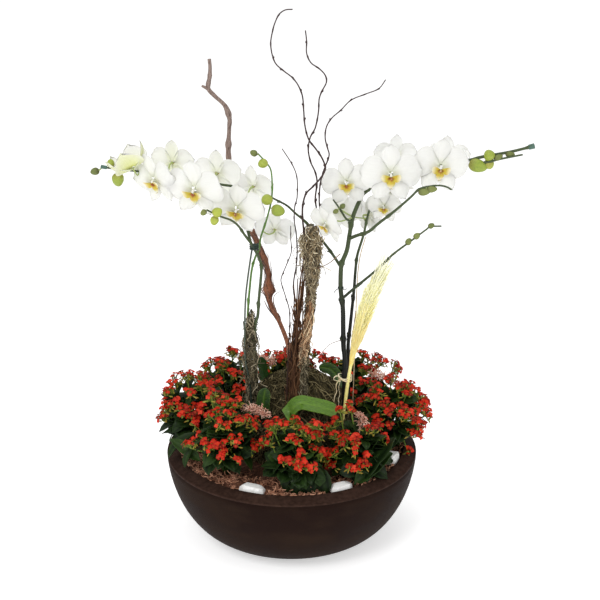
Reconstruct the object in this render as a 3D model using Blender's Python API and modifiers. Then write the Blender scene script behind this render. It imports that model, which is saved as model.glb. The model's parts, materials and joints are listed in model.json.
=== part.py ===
"""Orchid arrangement in a wide bowl, as solids at real size.

Metres, +Z up. The origin is the centre of the bowl's flat underside and the front faces -Y. Two white
moth orchids, a bundle of curly willow, a thick bare branch and a grass plume stand in a fibre-covered
mound, with eight kalanchoe plants in a ring round it.
"""
import math
from dataclasses import dataclass

import bmesh
import bpy
from mathutils import Matrix, Vector

OBJECT_NAME = "orchid_arrangement"
GAP = 0.0003                      # clearance between touching pieces

# Bowl and its filling
BOWL_RADIUS = 0.225
BOWL_HEIGHT = 0.156
BASE_RADIUS = 0.090
LIP_WIDTH = 0.024
LIP_RISE = 0.007
FLOOR_THICKNESS = 0.014
TURN_STEPS = 36
SOIL_LEVEL = 0.146
DRESSING_TOP = 0.152
MOUND_CENTRE = Vector((0.012, 0.010, SOIL_LEVEL + GAP))
MOUND_SIZE = Vector((0.100, 0.080, 0.150))

# Plants
CENTRE_FOOT = 0.235               # height at which the stems in the middle end inside the mound
SIDE_FOOT = 0.192                 # and those near its edges
BLOOM_THICKNESS = 0.0012
BLOOM_NOTCH = 0.29                # how far in the edge comes between two petals, as a share of the width
BLOOM_MIDDLE = 0.13               # flat middle of a flower, as a share of its width
PEDICEL_RADIUS = 0.0016
LEAF_THICKNESS = 0.0030

FINISHES = {
    "bowl_brown": ((0.085, 0.060, 0.058), 0.80),
    "soil": ((0.045, 0.032, 0.022), 0.95),
    "copper_fibre": ((0.300, 0.120, 0.075), 0.90),
    "moss_fibre": ((0.160, 0.120, 0.060), 0.95),
    "pebble_white": ((0.880, 0.870, 0.850), 0.55),
    "kalanchoe_leaf": ((0.030, 0.110, 0.030), 0.45),
    "kalanchoe_flower": ((0.700, 0.030, 0.020), 0.60),
    "orchid_leaf": ((0.080, 0.260, 0.050), 0.40),
    "orchid_stem": ((0.080, 0.160, 0.050), 0.50),
    "petal_white": ((0.900, 0.900, 0.870), 0.55),
    "stake_dark": ((0.050, 0.070, 0.050), 0.50),
    "bark": ((0.260, 0.110, 0.070), 0.80),
    "willow": ((0.110, 0.060, 0.050), 0.75),
    "hanging_moss": ((0.300, 0.230, 0.130), 0.95),
    "plume": ((0.850, 0.760, 0.420), 0.90),
    "raffia": ((0.850, 0.760, 0.550), 0.85),
}


@dataclass
class Stem:
    """A stem's own route points, from foot to tip, with its radius at each end."""

    points: list
    foot_radius: float
    tip_radius: float
    spacing: float = 0.028
    sides: int = 6


@dataclass
class Bloom:
    """An open orchid flower: the middle of its face, where it looks, its roll and its width."""

    centre: tuple
    faces: tuple
    span: float
    roll: float = 0.0


@dataclass
class Bud:
    """A closed bud: its middle and its radius."""

    centre: tuple
    radius: float


@dataclass
class Plant:
    """A kalanchoe plant: direction and distance from the bowl's axis, half sizes and top height."""

    name: str
    azimuth: float
    distance: float
    radial: float
    tangential: float
    top: float


WILLOW = {
    "willow_tall": Stem([
        (0.008, -0.035, CENTRE_FOOT), (0.011, -0.032, 0.300), (0.016, -0.030, 0.356), (0.025, -0.027, 0.411),
        (0.030, -0.024, 0.465), (0.028, -0.022, 0.519), (0.019, -0.019, 0.594), (0.023, -0.030, 0.634),
        (0.036, -0.044, 0.654), (0.049, -0.058, 0.673), (0.056, -0.064, 0.690), (0.051, -0.062, 0.706),
        (0.041, -0.050, 0.719), (0.029, -0.034, 0.732), (0.023, -0.016, 0.751), (0.021, -0.003, 0.774),
        (0.019, -0.002, 0.797), (0.012, -0.001, 0.815), (0.002, 0.000, 0.828), (-0.012, 0.000, 0.839),
        (-0.025, 0.000, 0.851), (-0.031, 0.000, 0.867), (-0.033, 0.000, 0.885), (-0.030, 0.000, 0.903),
        (-0.026, 0.000, 0.917), (-0.019, 0.000, 0.931), (-0.009, 0.000, 0.938), (0.003, 0.000, 0.939)],
        0.0022, 0.0010, 0.015, 4),
    "willow_middle": Stem([
        (0.015, -0.028, CENTRE_FOOT), (0.018, -0.025, 0.300), (0.024, -0.020, 0.356), (0.032, -0.016, 0.411),
        (0.037, -0.012, 0.465), (0.037, -0.008, 0.519), (0.044, -0.004, 0.587), (0.041, 0.005, 0.619),
        (0.044, 0.009, 0.646), (0.041, 0.012, 0.664), (0.033, 0.013, 0.682), (0.029, 0.014, 0.703),
        (0.032, 0.015, 0.723), (0.041, 0.016, 0.741), (0.046, 0.018, 0.767), (0.047, 0.020, 0.787),
        (0.051, 0.020, 0.800), (0.059, 0.020, 0.816), (0.057, 0.020, 0.828), (0.047, 0.020, 0.839),
        (0.033, 0.020, 0.849), (0.026, 0.020, 0.865), (0.026, 0.020, 0.884), (0.024, 0.020, 0.902)],
        0.0020, 0.0010, 0.015, 4),
    "willow_right": Stem([
        (0.022, -0.036, CENTRE_FOOT), (0.024, -0.034, 0.300), (0.029, -0.030, 0.356), (0.037, -0.026, 0.411),
        (0.041, -0.022, 0.465), (0.042, -0.020, 0.526), (0.049, -0.018, 0.595), (0.047, -0.030, 0.626),
        (0.048, -0.044, 0.656), (0.053, -0.054, 0.682), (0.062, -0.058, 0.709), (0.060, -0.056, 0.721),
        (0.056, -0.046, 0.736), (0.058, -0.034, 0.752), (0.067, -0.024, 0.765), (0.082, -0.018, 0.777),
        (0.099, -0.018, 0.794), (0.123, -0.018, 0.804), (0.144, -0.019, 0.813), (0.155, -0.020, 0.828)],
        0.0020, 0.0009, 0.015, 4),
    "willow_short": Stem([
        (-0.003, -0.040, CENTRE_FOOT), (-0.001, -0.038, 0.321), (0.001, -0.036, 0.367), (0.004, -0.034, 0.399),
        (0.008, -0.034, 0.423), (0.008, -0.034, 0.444), (0.004, -0.032, 0.463), (0.004, -0.028, 0.483),
        (0.008, -0.024, 0.506), (0.010, -0.018, 0.534), (0.008, -0.011, 0.566), (0.005, -0.009, 0.586),
        (0.006, -0.007, 0.609), (0.010, -0.006, 0.626), (0.010, -0.004, 0.657), (0.003, -0.002, 0.679),
        (-0.015, 0.000, 0.708)],
        0.0016, 0.0008, 0.015, 4),
    "willow_thin": Stem([
        (-0.010, -0.046, CENTRE_FOOT), (-0.007, -0.044, 0.324), (-0.005, -0.042, 0.369), (-0.003, -0.040, 0.427),
        (-0.010, -0.036, 0.457), (-0.017, -0.030, 0.479), (-0.017, -0.026, 0.489), (-0.008, -0.022, 0.511),
        (0.000, -0.020, 0.533), (-0.001, -0.018, 0.556), (-0.001, -0.016, 0.578)],
        0.0012, 0.0007, 0.015, 4),
}
THICK_BRANCH = Stem([
    (0.000, -0.022, CENTRE_FOOT), (-0.001, -0.016, 0.315), (-0.004, -0.006, 0.346), (-0.011, 0.006, 0.368),
    (-0.024, 0.017, 0.397), (-0.038, 0.030, 0.422), (-0.040, 0.035, 0.448), (-0.042, 0.040, 0.480),
    (-0.053, 0.045, 0.513), (-0.070, 0.050, 0.553), (-0.089, 0.055, 0.613), (-0.107, 0.055, 0.672),
    (-0.106, 0.055, 0.728), (-0.105, 0.055, 0.747), (-0.112, 0.055, 0.769), (-0.129, 0.055, 0.786),
    (-0.139, 0.054, 0.797), (-0.140, 0.053, 0.805), (-0.137, 0.052, 0.820), (-0.136, 0.051, 0.836),
    (-0.137, 0.050, 0.850)],
    0.0075, 0.0030, 0.020, 6)
BRANCH_STUB = Stem([(-0.139, 0.054, 0.798), (-0.150, 0.048, 0.805)], 0.0030, 0.0020, 0.010, 6)

LEFT_SPIKE = Stem([
    (-0.058, -0.030, SIDE_FOOT), (-0.061, -0.031, 0.291), (-0.065, -0.032, 0.347), (-0.063, -0.034, 0.401),
    (-0.058, -0.035, 0.423), (-0.056, -0.035, 0.451), (-0.051, -0.037, 0.506), (-0.053, -0.038, 0.522),
    (-0.060, -0.039, 0.539), (-0.068, -0.040, 0.555), (-0.073, -0.041, 0.578), (-0.076, -0.042, 0.610),
    (-0.080, -0.043, 0.638), (-0.092, -0.044, 0.653), (-0.115, -0.045, 0.658), (-0.158, -0.045, 0.666),
    (-0.202, -0.045, 0.674), (-0.234, -0.045, 0.679), (-0.263, -0.045, 0.682), (-0.291, -0.045, 0.685),
    (-0.314, -0.045, 0.689)],
    0.0032, 0.0016)
LEFT_LOW_BRANCH = Stem([
    (-0.068, -0.040, 0.555), (-0.078, -0.056, 0.574), (-0.088, -0.072, 0.595), (-0.100, -0.086, 0.609),
    (-0.118, -0.100, 0.620), (-0.137, -0.110, 0.633)],
    0.0020, 0.0012, 0.015)
LEFT_SECOND_SPIKE = Stem([
    (-0.074, -0.022, SIDE_FOOT), (-0.076, -0.021, 0.290), (-0.078, -0.020, 0.362), (-0.075, -0.019, 0.432),
    (-0.072, -0.018, 0.466), (-0.068, -0.018, 0.500), (-0.062, -0.018, 0.522), (-0.055, -0.018, 0.538),
    (-0.052, -0.018, 0.558), (-0.043, -0.019, 0.586), (-0.035, -0.020, 0.616), (-0.032, -0.022, 0.637),
    (-0.032, -0.023, 0.659), (-0.034, -0.025, 0.678), (-0.040, -0.027, 0.689), (-0.055, -0.030, 0.707)],
    0.0028, 0.0012, 0.020)
STAKE = Stem([
    (-0.067, -0.042, SIDE_FOOT), (-0.073, -0.041, 0.294), (-0.080, -0.040, 0.339), (-0.081, -0.039, 0.387),
    (-0.079, -0.037, 0.450), (-0.074, -0.035, 0.495), (-0.068, -0.030, 0.535)],
    0.0014, 0.0014, 0.030, 4)

RIGHT_SPIKE = Stem([
    (0.093, -0.020, SIDE_FOOT), (0.094, -0.020, 0.322), (0.091, -0.020, 0.359), (0.090, -0.020, 0.395),
    (0.089, -0.020, 0.431), (0.085, -0.020, 0.465), (0.085, -0.020, 0.500), (0.087, -0.020, 0.514),
    (0.095, -0.020, 0.536), (0.099, -0.020, 0.563), (0.104, -0.020, 0.593), (0.114, -0.020, 0.620),
    (0.124, -0.020, 0.638), (0.157, -0.020, 0.662), (0.224, -0.020, 0.683), (0.293, -0.020, 0.692),
    (0.317, -0.020, 0.698), (0.366, -0.020, 0.707), (0.405, -0.020, 0.717)],
    0.0032, 0.0018)
RIGHT_BACK_BRANCH = Stem([
    (0.085, -0.020, 0.505), (0.070, 0.009, 0.521), (0.053, 0.031, 0.538), (0.025, 0.037, 0.569),
    (0.008, 0.037, 0.584), (-0.007, 0.031, 0.600), (-0.023, 0.017, 0.613), (-0.034, 0.006, 0.622)],
    0.0021, 0.0014, 0.020)
RIGHT_MID_BRANCH = Stem([
    (0.098, -0.020, 0.556), (0.111, -0.040, 0.568), (0.129, -0.064, 0.582), (0.144, -0.078, 0.600),
    (0.170, -0.086, 0.624), (0.194, -0.092, 0.648), (0.208, -0.098, 0.664), (0.226, -0.102, 0.670),
    (0.239, -0.102, 0.671), (0.251, -0.102, 0.669), (0.260, -0.102, 0.664)],
    0.0020, 0.0010, 0.020)
RIGHT_LOW_BRANCH = Stem([
    (0.087, -0.020, 0.447), (0.109, -0.027, 0.470), (0.144, -0.033, 0.503), (0.172, -0.040, 0.534),
    (0.197, -0.053, 0.559), (0.223, -0.067, 0.585), (0.231, -0.073, 0.593), (0.248, -0.080, 0.596)],
    0.0020, 0.0011, 0.024)
RIGHT_SMALL_BRANCH = Stem([
    (0.103, -0.020, 0.586), (0.092, -0.034, 0.596), (0.082, -0.042, 0.614), (0.070, -0.046, 0.632)],
    0.0016, 0.0010, 0.015)
RIGHT_SECOND_SPIKE = Stem([
    (0.100, -0.006, SIDE_FOOT), (0.101, -0.005, 0.315), (0.100, -0.002, 0.355), (0.103, 0.000, 0.388),
    (0.106, 0.000, 0.423), (0.109, 0.000, 0.458), (0.111, 0.000, 0.493), (0.114, 0.000, 0.521),
    (0.124, 0.000, 0.557), (0.131, 0.000, 0.592), (0.138, 0.001, 0.613), (0.147, 0.003, 0.630)],
    0.0028, 0.0014)

LEFT_BLOOMS = [
    Bloom((-0.262, -0.030, 0.702), (-0.45, -0.50, 0.55), 0.070),
    Bloom((-0.228, -0.060, 0.675), (-0.15, -0.93, -0.28), 0.095, 0.20),
    Bloom((-0.199, 0.002, 0.690), (0.30, 0.90, 0.30), 0.085),
    Bloom((-0.160, -0.092, 0.666), (-0.10, -0.96, -0.20), 0.100),
    Bloom((-0.125, 0.000, 0.672), (0.15, 0.95, 0.30), 0.090),
    Bloom((-0.092, -0.068, 0.627), (0.15, -0.95, -0.25), 0.100, -0.20),
    Bloom((-0.064, 0.014, 0.640), (0.40, 0.85, 0.15), 0.080),
]
LEFT_SECOND_BLOOMS = [
    Bloom((-0.028, 0.004, 0.566), (0.15, 0.95, 0.12), 0.074),
]
RIGHT_BLOOMS = [
    Bloom((0.092, -0.040, 0.660), (-0.10, -0.98, -0.10), 0.090, 0.10),
    Bloom((0.163, -0.076, 0.683), (0.00, -1.00, 0.00), 0.105),
    Bloom((0.245, -0.062, 0.692), (0.10, -0.98, 0.00), 0.100, -0.10),
    Bloom((0.178, 0.035, 0.714), (0.00, 0.95, 0.30), 0.090),
    Bloom((0.178, 0.008, 0.632), (0.20, -0.10, -0.95), 0.072),
    Bloom((0.268, 0.030, 0.712), (0.20, 0.90, 0.30), 0.090),
    Bloom((0.053, -0.066, 0.594), (-0.45, -0.80, -0.35), 0.078),
]
RIGHT_SECOND_BLOOMS = [
    Bloom((0.156, -0.034, 0.616), (-0.30, -0.90, -0.20), 0.064),
    Bloom((0.086, 0.042, 0.588), (-0.20, 0.95, -0.20), 0.080),
    Bloom((0.136, 0.036, 0.582), (0.80, 0.55, -0.10), 0.070),
]

LEFT_BUDS = [
    Bud((-0.325, -0.042, 0.680), 0.0065), Bud((-0.298, -0.042, 0.694), 0.0065), Bud((-0.287, -0.042, 0.666), 0.0100)]
LEFT_LOW_BUDS = [
    Bud((-0.142, -0.112, 0.629), 0.0050), Bud((-0.120, -0.106, 0.628), 0.0085), Bud((-0.125, -0.104, 0.613), 0.0075)]
LEFT_SECOND_BUDS = [
    Bud((-0.062, -0.031, 0.708), 0.0055), Bud((-0.047, -0.030, 0.690), 0.0080),
    Bud((-0.041, -0.028, 0.627), 0.0095), Bud((-0.022, -0.026, 0.608), 0.0105)]
RIGHT_BUDS = [
    Bud((0.312, -0.022, 0.684), 0.0125), Bud((0.330, -0.024, 0.702), 0.0105), Bud((0.331, -0.020, 0.686), 0.0095),
    Bud((0.365, -0.022, 0.703), 0.0060)]
RIGHT_MID_BUDS = [Bud((0.216, -0.100, 0.660), 0.0065), Bud((0.228, -0.102, 0.664), 0.0060)]
RIGHT_LOW_BUDS = [
    Bud((0.197, -0.053, 0.563), 0.0055), Bud((0.210, -0.060, 0.574), 0.0055), Bud((0.232, -0.074, 0.595), 0.0050)]
RIGHT_SMALL_BUDS = [Bud((0.086, -0.046, 0.621), 0.0050), Bud((0.074, -0.048, 0.612), 0.0045)]

PLANTS = [
    Plant("kalanchoe_right", 2, 0.178, 0.066, 0.060, 0.285),
    Plant("kalanchoe_front_right", -43, 0.158, 0.060, 0.054, 0.262),
    Plant("kalanchoe_front", -88, 0.154, 0.056, 0.056, 0.270),
    Plant("kalanchoe_front_left", -133, 0.162, 0.060, 0.056, 0.290),
    Plant("kalanchoe_left", 180, 0.176, 0.064, 0.060, 0.295),
    Plant("kalanchoe_back_left", 137, 0.158, 0.060, 0.056, 0.285),
    Plant("kalanchoe_back", 92, 0.154, 0.058, 0.056, 0.282),
    Plant("kalanchoe_back_right", 47, 0.164, 0.056, 0.056, 0.285),
]
PLANT_STEPS = 10
PLANT_FOOT = 0.20                 # foot radius of a plant, as a share of its half size
PEBBLES = {                       # place, and half sizes along the rim, across it and up
    "pebble_front_left": ((-0.067, -0.174), (0.0225, 0.0115, 0.0085)),
    "pebble_front_right": ((0.083, -0.167), (0.0205, 0.0115, 0.0080)),
    "pebble_right": ((0.176, -0.062), (0.0170, 0.0105, 0.0085)),
}

# Moss, plume and tie
COLUMN_ROUTE = [
    (0.024, -0.032, 0.330), (0.026, -0.028, 0.370), (0.030, -0.024, 0.420), (0.034, -0.021, 0.460),
    (0.035, -0.017, 0.500), (0.034, -0.016, 0.540), (0.034, -0.014, 0.580)]
COLUMN_RADII = [0.009, 0.010, 0.011, 0.012, 0.017, 0.020, 0.014]
WRAP_ROUTE = [(-0.068, -0.029, 0.262), (-0.071, -0.029, 0.320), (-0.072, -0.029, 0.370), (-0.069, -0.029, 0.430)]
WRAP_RADII = [0.012, 0.014, 0.014, 0.010]
PLUME_ROUTE = [
    (0.088, -0.030, SIDE_FOOT), (0.098, -0.036, 0.291), (0.105, -0.034, 0.330), (0.114, -0.032, 0.356),
    (0.124, -0.032, 0.397), (0.134, -0.032, 0.440), (0.148, -0.032, 0.485), (0.161, -0.032, 0.516)]
PLUME_RADII = [0.0022, 0.0022, 0.0024, 0.0045, 0.0085, 0.0130, 0.0145, 0.0030]
RAFFIA_HEIGHT = 0.306
RAFFIA_RADIUS = 0.0015


# ---------------------------------------------------------------- scene, finishes and collections

def clear_scene():
    """Remove every object that the start-up scene holds."""
    for item in list(bpy.data.objects):
        bpy.data.objects.remove(item, do_unlink=True)


def new_collection(name, parent=None):
    """Make a collection under the parent, or under the scene's own."""
    made = bpy.data.collections.new(name)
    (parent or bpy.context.scene.collection).children.link(made)
    return made


def finish_material(name):
    """Give the Principled material of one finish, made on first use."""
    found = bpy.data.materials.get(name)
    if found:
        return found
    colour, roughness = FINISHES[name]
    made = bpy.data.materials.new(name)
    made.use_nodes = True
    shader = made.node_tree.nodes["Principled BSDF"]
    shader.inputs["Base Color"].default_value = (*colour, 1.0)
    shader.inputs["Roughness"].default_value = roughness
    shader.inputs["Metallic"].default_value = 0.0
    made.diffuse_color = (*colour, 1.0)
    return made


def place(name, mesh, collection, finish=None):
    """Make an object from a mesh and link it."""
    item = bpy.data.objects.new(name, mesh)
    collection.objects.link(item)
    if finish:
        mesh.materials.append(finish_material(finish))
    mesh.shade_smooth()
    mesh.set_sharp_from_angle(angle=math.radians(50))
    return item


def add_modifier(item, kind, **settings):
    """Add a modifier and set its values."""
    made = item.modifiers.new(kind.title(), kind)
    for key, value in settings.items():
        setattr(made, key, value)
    return made


def combine(target, pieces, operation, guides):
    """Join the pieces to the target, or cut them out of it, with one exact Boolean."""
    group = new_collection(f"{target.name}_{operation.lower()}", guides)
    for number, mesh in enumerate(pieces):
        tool = place(f"{group.name}_{number}", mesh, group)
        tool.hide_render = True
        tool.display_type = "WIRE"
    add_modifier(target, "BOOLEAN", operation=operation, operand_type="COLLECTION", collection=group,
                 solver="EXACT", use_self=operation == "UNION")


# ---------------------------------------------------------------- routes and tubes

def smooth_route(points, spacing):
    """Sample a smooth curve through the points, at about the given spacing, ends included."""
    knots = [Vector(p) for p in points]
    ends = [2 * knots[0] - knots[1], *knots, 2 * knots[-1] - knots[-2]]
    dense = []
    for a, b, c, d in zip(ends, ends[1:], ends[2:], ends[3:]):
        for step in range(12):
            t = step / 12
            dense.append(0.5 * ((2 * b) + (c - a) * t + (2 * a - 5 * b + 4 * c - d) * t * t
                                + (3 * b - a - 3 * c + d) * t ** 3))
    dense.append(knots[-1])
    lengths = [0.0]
    for p, q in zip(dense, dense[1:]):
        lengths.append(lengths[-1] + (q - p).length)
    count = max(2, round(lengths[-1] / spacing) + 1)
    sampled = []
    at = 0
    for number in range(count):
        goal = lengths[-1] * number / (count - 1)
        while at < len(dense) - 2 and lengths[at + 1] < goal:
            at += 1
        share = (goal - lengths[at]) / max(lengths[at + 1] - lengths[at], 1e-9)
        sampled.append(dense[at].lerp(dense[at + 1], min(share, 1.0)))
    return sampled


def even_radii(values, count):
    """Spread the values evenly over count places, with straight steps between them."""
    spread = []
    for number in range(count):
        at = number * (len(values) - 1) / max(count - 1, 1)
        low = min(int(at), len(values) - 2)
        spread.append(values[low] + (values[low + 1] - values[low]) * (at - low))
    return spread


def tube_mesh(route, radii, sides=6, closed=False):
    """Make the closed mesh of a tube along the route, through a bevelled curve with filled caps."""
    curve = bpy.data.curves.new("tube", "CURVE")
    curve.dimensions = "3D"
    curve.bevel_depth = max(radii)
    curve.bevel_resolution = (sides - 4) // 2
    curve.use_fill_caps = not closed
    spline = curve.splines.new("POLY")
    spline.points.add(len(route) - 1)
    spline.use_cyclic_u = closed
    for point, position, radius in zip(spline.points, route, radii):
        point.co = (*position, 1.0)
        point.radius = radius / curve.bevel_depth
    holder = bpy.data.objects.new("tube", curve)
    bpy.context.scene.collection.objects.link(holder)
    seen = holder.evaluated_get(bpy.context.evaluated_depsgraph_get())
    mesh = bpy.data.meshes.new_from_object(seen)
    bpy.data.objects.remove(holder, do_unlink=True)
    shape = bmesh.new()
    shape.from_mesh(mesh)
    bmesh.ops.remove_doubles(shape, verts=shape.verts, dist=1e-6)
    bmesh.ops.recalc_face_normals(shape, faces=shape.faces)
    shape.to_mesh(mesh)
    shape.free()
    return mesh


def stem_route(stem):
    """Give a stem's sampled route and its radius at each sample."""
    route = smooth_route(stem.points, stem.spacing)
    return route, even_radii([stem.foot_radius, stem.tip_radius], len(route))


def stem_mesh(stem, clearance=0.0):
    """Make a stem's mesh, or with a clearance the sleeve that it fits in."""
    route, radii = stem_route(stem)
    if clearance:
        route[0] = route[0] + (route[0] - route[1]).normalized() * clearance
    return tube_mesh(route, [radius + clearance * 1.2 for radius in radii], stem.sides)


def place_on_route(route, height):
    """Give the first place on the route at the given height."""
    for low, high in zip(route, route[1:]):
        if low.z <= height <= high.z:
            return low.lerp(high, (height - low.z) / (high.z - low.z))
    return route[-1]


def nearest_on(routes, goal):
    """Give the place nearest to the goal on any of the routes."""
    return min((point for route in routes for point in route), key=lambda point: (point - goal).length)


# ---------------------------------------------------------------- bowl and filling

def outer_radius(height):
    """Radius of the bowl's outside at a height above its base."""
    share = min(height / BOWL_HEIGHT, 1.0)
    return BASE_RADIUS + (BOWL_RADIUS - BASE_RADIUS) * (1 - (1 - share) ** 1.65) ** (1 / 2.65)


def inner_wall():
    """Radius and height of the bowl's inside, from the floor's edge up to the lip."""
    top = BOWL_RADIUS - LIP_WIDTH
    wall = [(0.075, FLOOR_THICKNESS)]
    for height in (0.022, 0.045, 0.080, 0.115, SOIL_LEVEL):
        thickness = 0.016 + 0.008 * height / BOWL_HEIGHT
        wall.append((min(outer_radius(height) - thickness, top - 0.001), height))
    return wall


def turned(name, profile, collection, finish):
    """Turn a profile, given from top to bottom on its outer side, about Z."""
    mesh = bpy.data.meshes.new(name)
    points = [(radius, 0.0, height) for radius, height in profile]
    mesh.from_pydata(points, [(n, n + 1) for n in range(len(points) - 1)], [])
    item = place(name, mesh, collection, finish)
    add_modifier(item, "SCREW", angle=math.tau, steps=TURN_STEPS, render_steps=TURN_STEPS,
                 use_merge_vertices=True, merge_threshold=0.00005, use_smooth_shade=True)
    return item


def make_bowl(collection):
    """Turn the bowl: floor, inner wall, sloping lip and rounded outside."""
    lip_inner = BOWL_RADIUS - LIP_WIDTH
    profile = [(0.0, FLOOR_THICKNESS), *inner_wall()]
    profile += [(lip_inner, BOWL_HEIGHT + LIP_RISE - 0.002), (lip_inner + 0.002, BOWL_HEIGHT + LIP_RISE)]
    profile += [(BOWL_RADIUS - 0.003, BOWL_HEIGHT + 0.001), (BOWL_RADIUS, BOWL_HEIGHT - 0.002)]
    for height in (0.130, 0.105, 0.080, 0.055, 0.032, 0.014, 0.004):
        profile.append((outer_radius(height), height))
    profile += [(BASE_RADIUS - 0.003, 0.0), (0.0, 0.0)]
    return turned("bowl", profile, collection, "bowl_brown")


def make_soil(collection):
    """Fill the bowl with soil up to its level, clear of the wall all round."""
    wall = [(radius - 2 * GAP, max(height, FLOOR_THICKNESS + GAP)) for radius, height in inner_wall()]
    profile = [(0.0, SOIL_LEVEL), *reversed(wall), (0.0, FLOOR_THICKNESS + GAP)]
    return turned("potting_soil", profile, collection, "soil")


def mound_mesh(clearance=0.0):
    """Make the mound as a half ball stretched to size, flat underneath."""
    shape = bmesh.new()
    bmesh.ops.create_uvsphere(shape, u_segments=20, v_segments=12, radius=1.0)
    cut = bmesh.ops.bisect_plane(shape, geom=shape.verts[:] + shape.edges[:] + shape.faces[:],
                                 plane_co=(0, 0, 0), plane_no=(0, 0, -1), clear_outer=True, dist=1e-5)
    rim = [edge for edge in cut["geom_cut"] if isinstance(edge, bmesh.types.BMEdge)]
    bmesh.ops.contextual_create(shape, geom=rim)
    size = MOUND_SIZE + Vector((clearance,) * 3)
    for vertex in shape.verts:
        vertex.co.z = vertex.co.z ** 0.85 if vertex.co.z > 1e-6 else 0.0
        vertex.co = MOUND_CENTRE + vertex.co * size
    bmesh.ops.recalc_face_normals(shape, faces=shape.faces)
    mesh = bpy.data.meshes.new("mound")
    shape.to_mesh(mesh)
    shape.free()
    return mesh


def cylinder_mesh(centre, radius, low, high, sides=12):
    """Make a plain upright cylinder."""
    shape = bmesh.new()
    lift = Matrix.Translation((centre[0], centre[1], (low + high) / 2))
    bmesh.ops.create_cone(shape, cap_ends=True, segments=sides, radius1=radius, radius2=radius,
                          depth=high - low, matrix=lift)
    mesh = bpy.data.meshes.new("cylinder")
    shape.to_mesh(mesh)
    shape.free()
    return mesh


def make_dressing(collection, guides):
    """Lay the fibre over the soil as a thin disc, open for the mound and for each plant's foot."""
    edge = inner_wall()[-1][0] - 2 * GAP
    low = SOIL_LEVEL + GAP
    middle = (low + DRESSING_TOP) / 2
    profile = [(0.0, DRESSING_TOP), (edge - 0.006, DRESSING_TOP), (edge - 0.001, middle), (edge - 0.001, low), (0.0, low)]
    item = turned("fibre_dressing", profile, collection, "copper_fibre")
    opening = cylinder_mesh((0, 0), 1.0, low - 0.002, DRESSING_TOP + 0.002, 20)
    reach = Matrix.Diagonal((MOUND_SIZE.x + 3 * GAP, MOUND_SIZE.y + 3 * GAP, 1.0, 1.0))
    opening.transform(Matrix.Translation((MOUND_CENTRE.x, MOUND_CENTRE.y, 0)) @ reach)
    tools = [opening]
    for plant in PLANTS:
        foot = plant_centre(plant)
        radius = PLANT_FOOT * max(plant.radial, plant.tangential) * 1.1 + 2 * GAP
        tools.append(cylinder_mesh(foot, radius, low - 0.002, DRESSING_TOP + 0.002, 8))
    combine(item, tools, "DIFFERENCE", guides)
    return item


def make_pebbles(collection):
    """Lay the white pebbles on the dressing just inside the lip."""
    for name, (place_xy, half) in PEBBLES.items():
        shape = bmesh.new()
        bmesh.ops.create_icosphere(shape, subdivisions=2, radius=1.0)
        low = min(vertex.co.z for vertex in shape.verts)
        place_on_bed = Matrix.Translation((*place_xy, DRESSING_TOP + GAP - low * half[2]))
        along_rim = Matrix.Rotation(math.atan2(place_xy[1], place_xy[0]) + math.pi / 2, 4, "Z")
        shape.transform(place_on_bed @ along_rim @ Matrix.Diagonal((*half, 1.0)))
        mesh = bpy.data.meshes.new(name)
        shape.to_mesh(mesh)
        shape.free()
        place(name, mesh, collection, "pebble_white")


# ---------------------------------------------------------------- kalanchoe

def plant_centre(plant):
    """Where a kalanchoe plant's foot stands, seen from above."""
    angle = math.radians(plant.azimuth)
    return Vector((plant.distance * math.cos(angle), plant.distance * math.sin(angle)))


def turned_plant_part(name, profile, plant, collection, finish, lumpy):
    """Turn one part of a plant, stretch it to its half sizes and ruffle the listed profile points."""
    item = turned(name, profile, collection, finish)
    item.modifiers["Screw"].steps = PLANT_STEPS
    item.modifiers["Screw"].render_steps = PLANT_STEPS
    group = item.vertex_groups.new(name="ruffled")
    group.add(lumpy, 1.0, "REPLACE")
    grain = bpy.data.textures.new(f"{name}_grain", "CLOUDS")
    grain.noise_scale = 0.4
    add_modifier(item, "DISPLACE", texture=grain, strength=0.012, mid_level=0.5, vertex_group="ruffled",
                 texture_coords="GLOBAL")
    item.scale = (plant.radial, plant.tangential, 1.0)
    item.rotation_euler.z = math.radians(plant.azimuth)
    item.location = (*plant_centre(plant), 0.0)
    return item


def make_plant(plant, collection):
    """Make a plant's leafy body on its foot, and the cushion of flowers that caps it."""
    top = plant.top
    leaf_top = [(0.0, top - 0.020), (0.60, top - 0.028), (0.86, top - 0.064)]
    leaves = [(radius, height - GAP) for radius, height in leaf_top]
    leaves += [(1.02, top - 0.076), (0.98, 0.190), (0.70, 0.174), (PLANT_FOOT, 0.176)]
    leaves += [(PLANT_FOOT, SOIL_LEVEL + GAP), (0.0, SOIL_LEVEL + GAP)]
    turned_plant_part(f"{plant.name}_leaves", leaves, plant, collection, "kalanchoe_leaf", [4])
    flowers = [(0.0, top), (0.50, top - 0.005), (0.82, top - 0.020), (1.00, top - 0.048)]
    flowers += [(0.96, top - 0.064), *reversed(leaf_top)]
    turned_plant_part(f"{plant.name}_flowers", flowers, plant, collection, "kalanchoe_flower", [0, 1, 2, 3])


# ---------------------------------------------------------------- orchids

def bloom_reach(angle):
    """Distance from the middle of a flower to its edge, as a share of its width."""
    lobes = ((90, 27, 0.46), (8, 48, 0.50), (172, 48, 0.50), (-57, 26, 0.43), (-123, 26, 0.43))
    reach = BLOOM_NOTCH
    for middle, half, length in lobes:
        away = abs((angle - middle + 180) % 360 - 180) / half
        if away < 1:
            reach = max(reach, length * math.sqrt(1 - away * away))
    return reach


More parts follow.
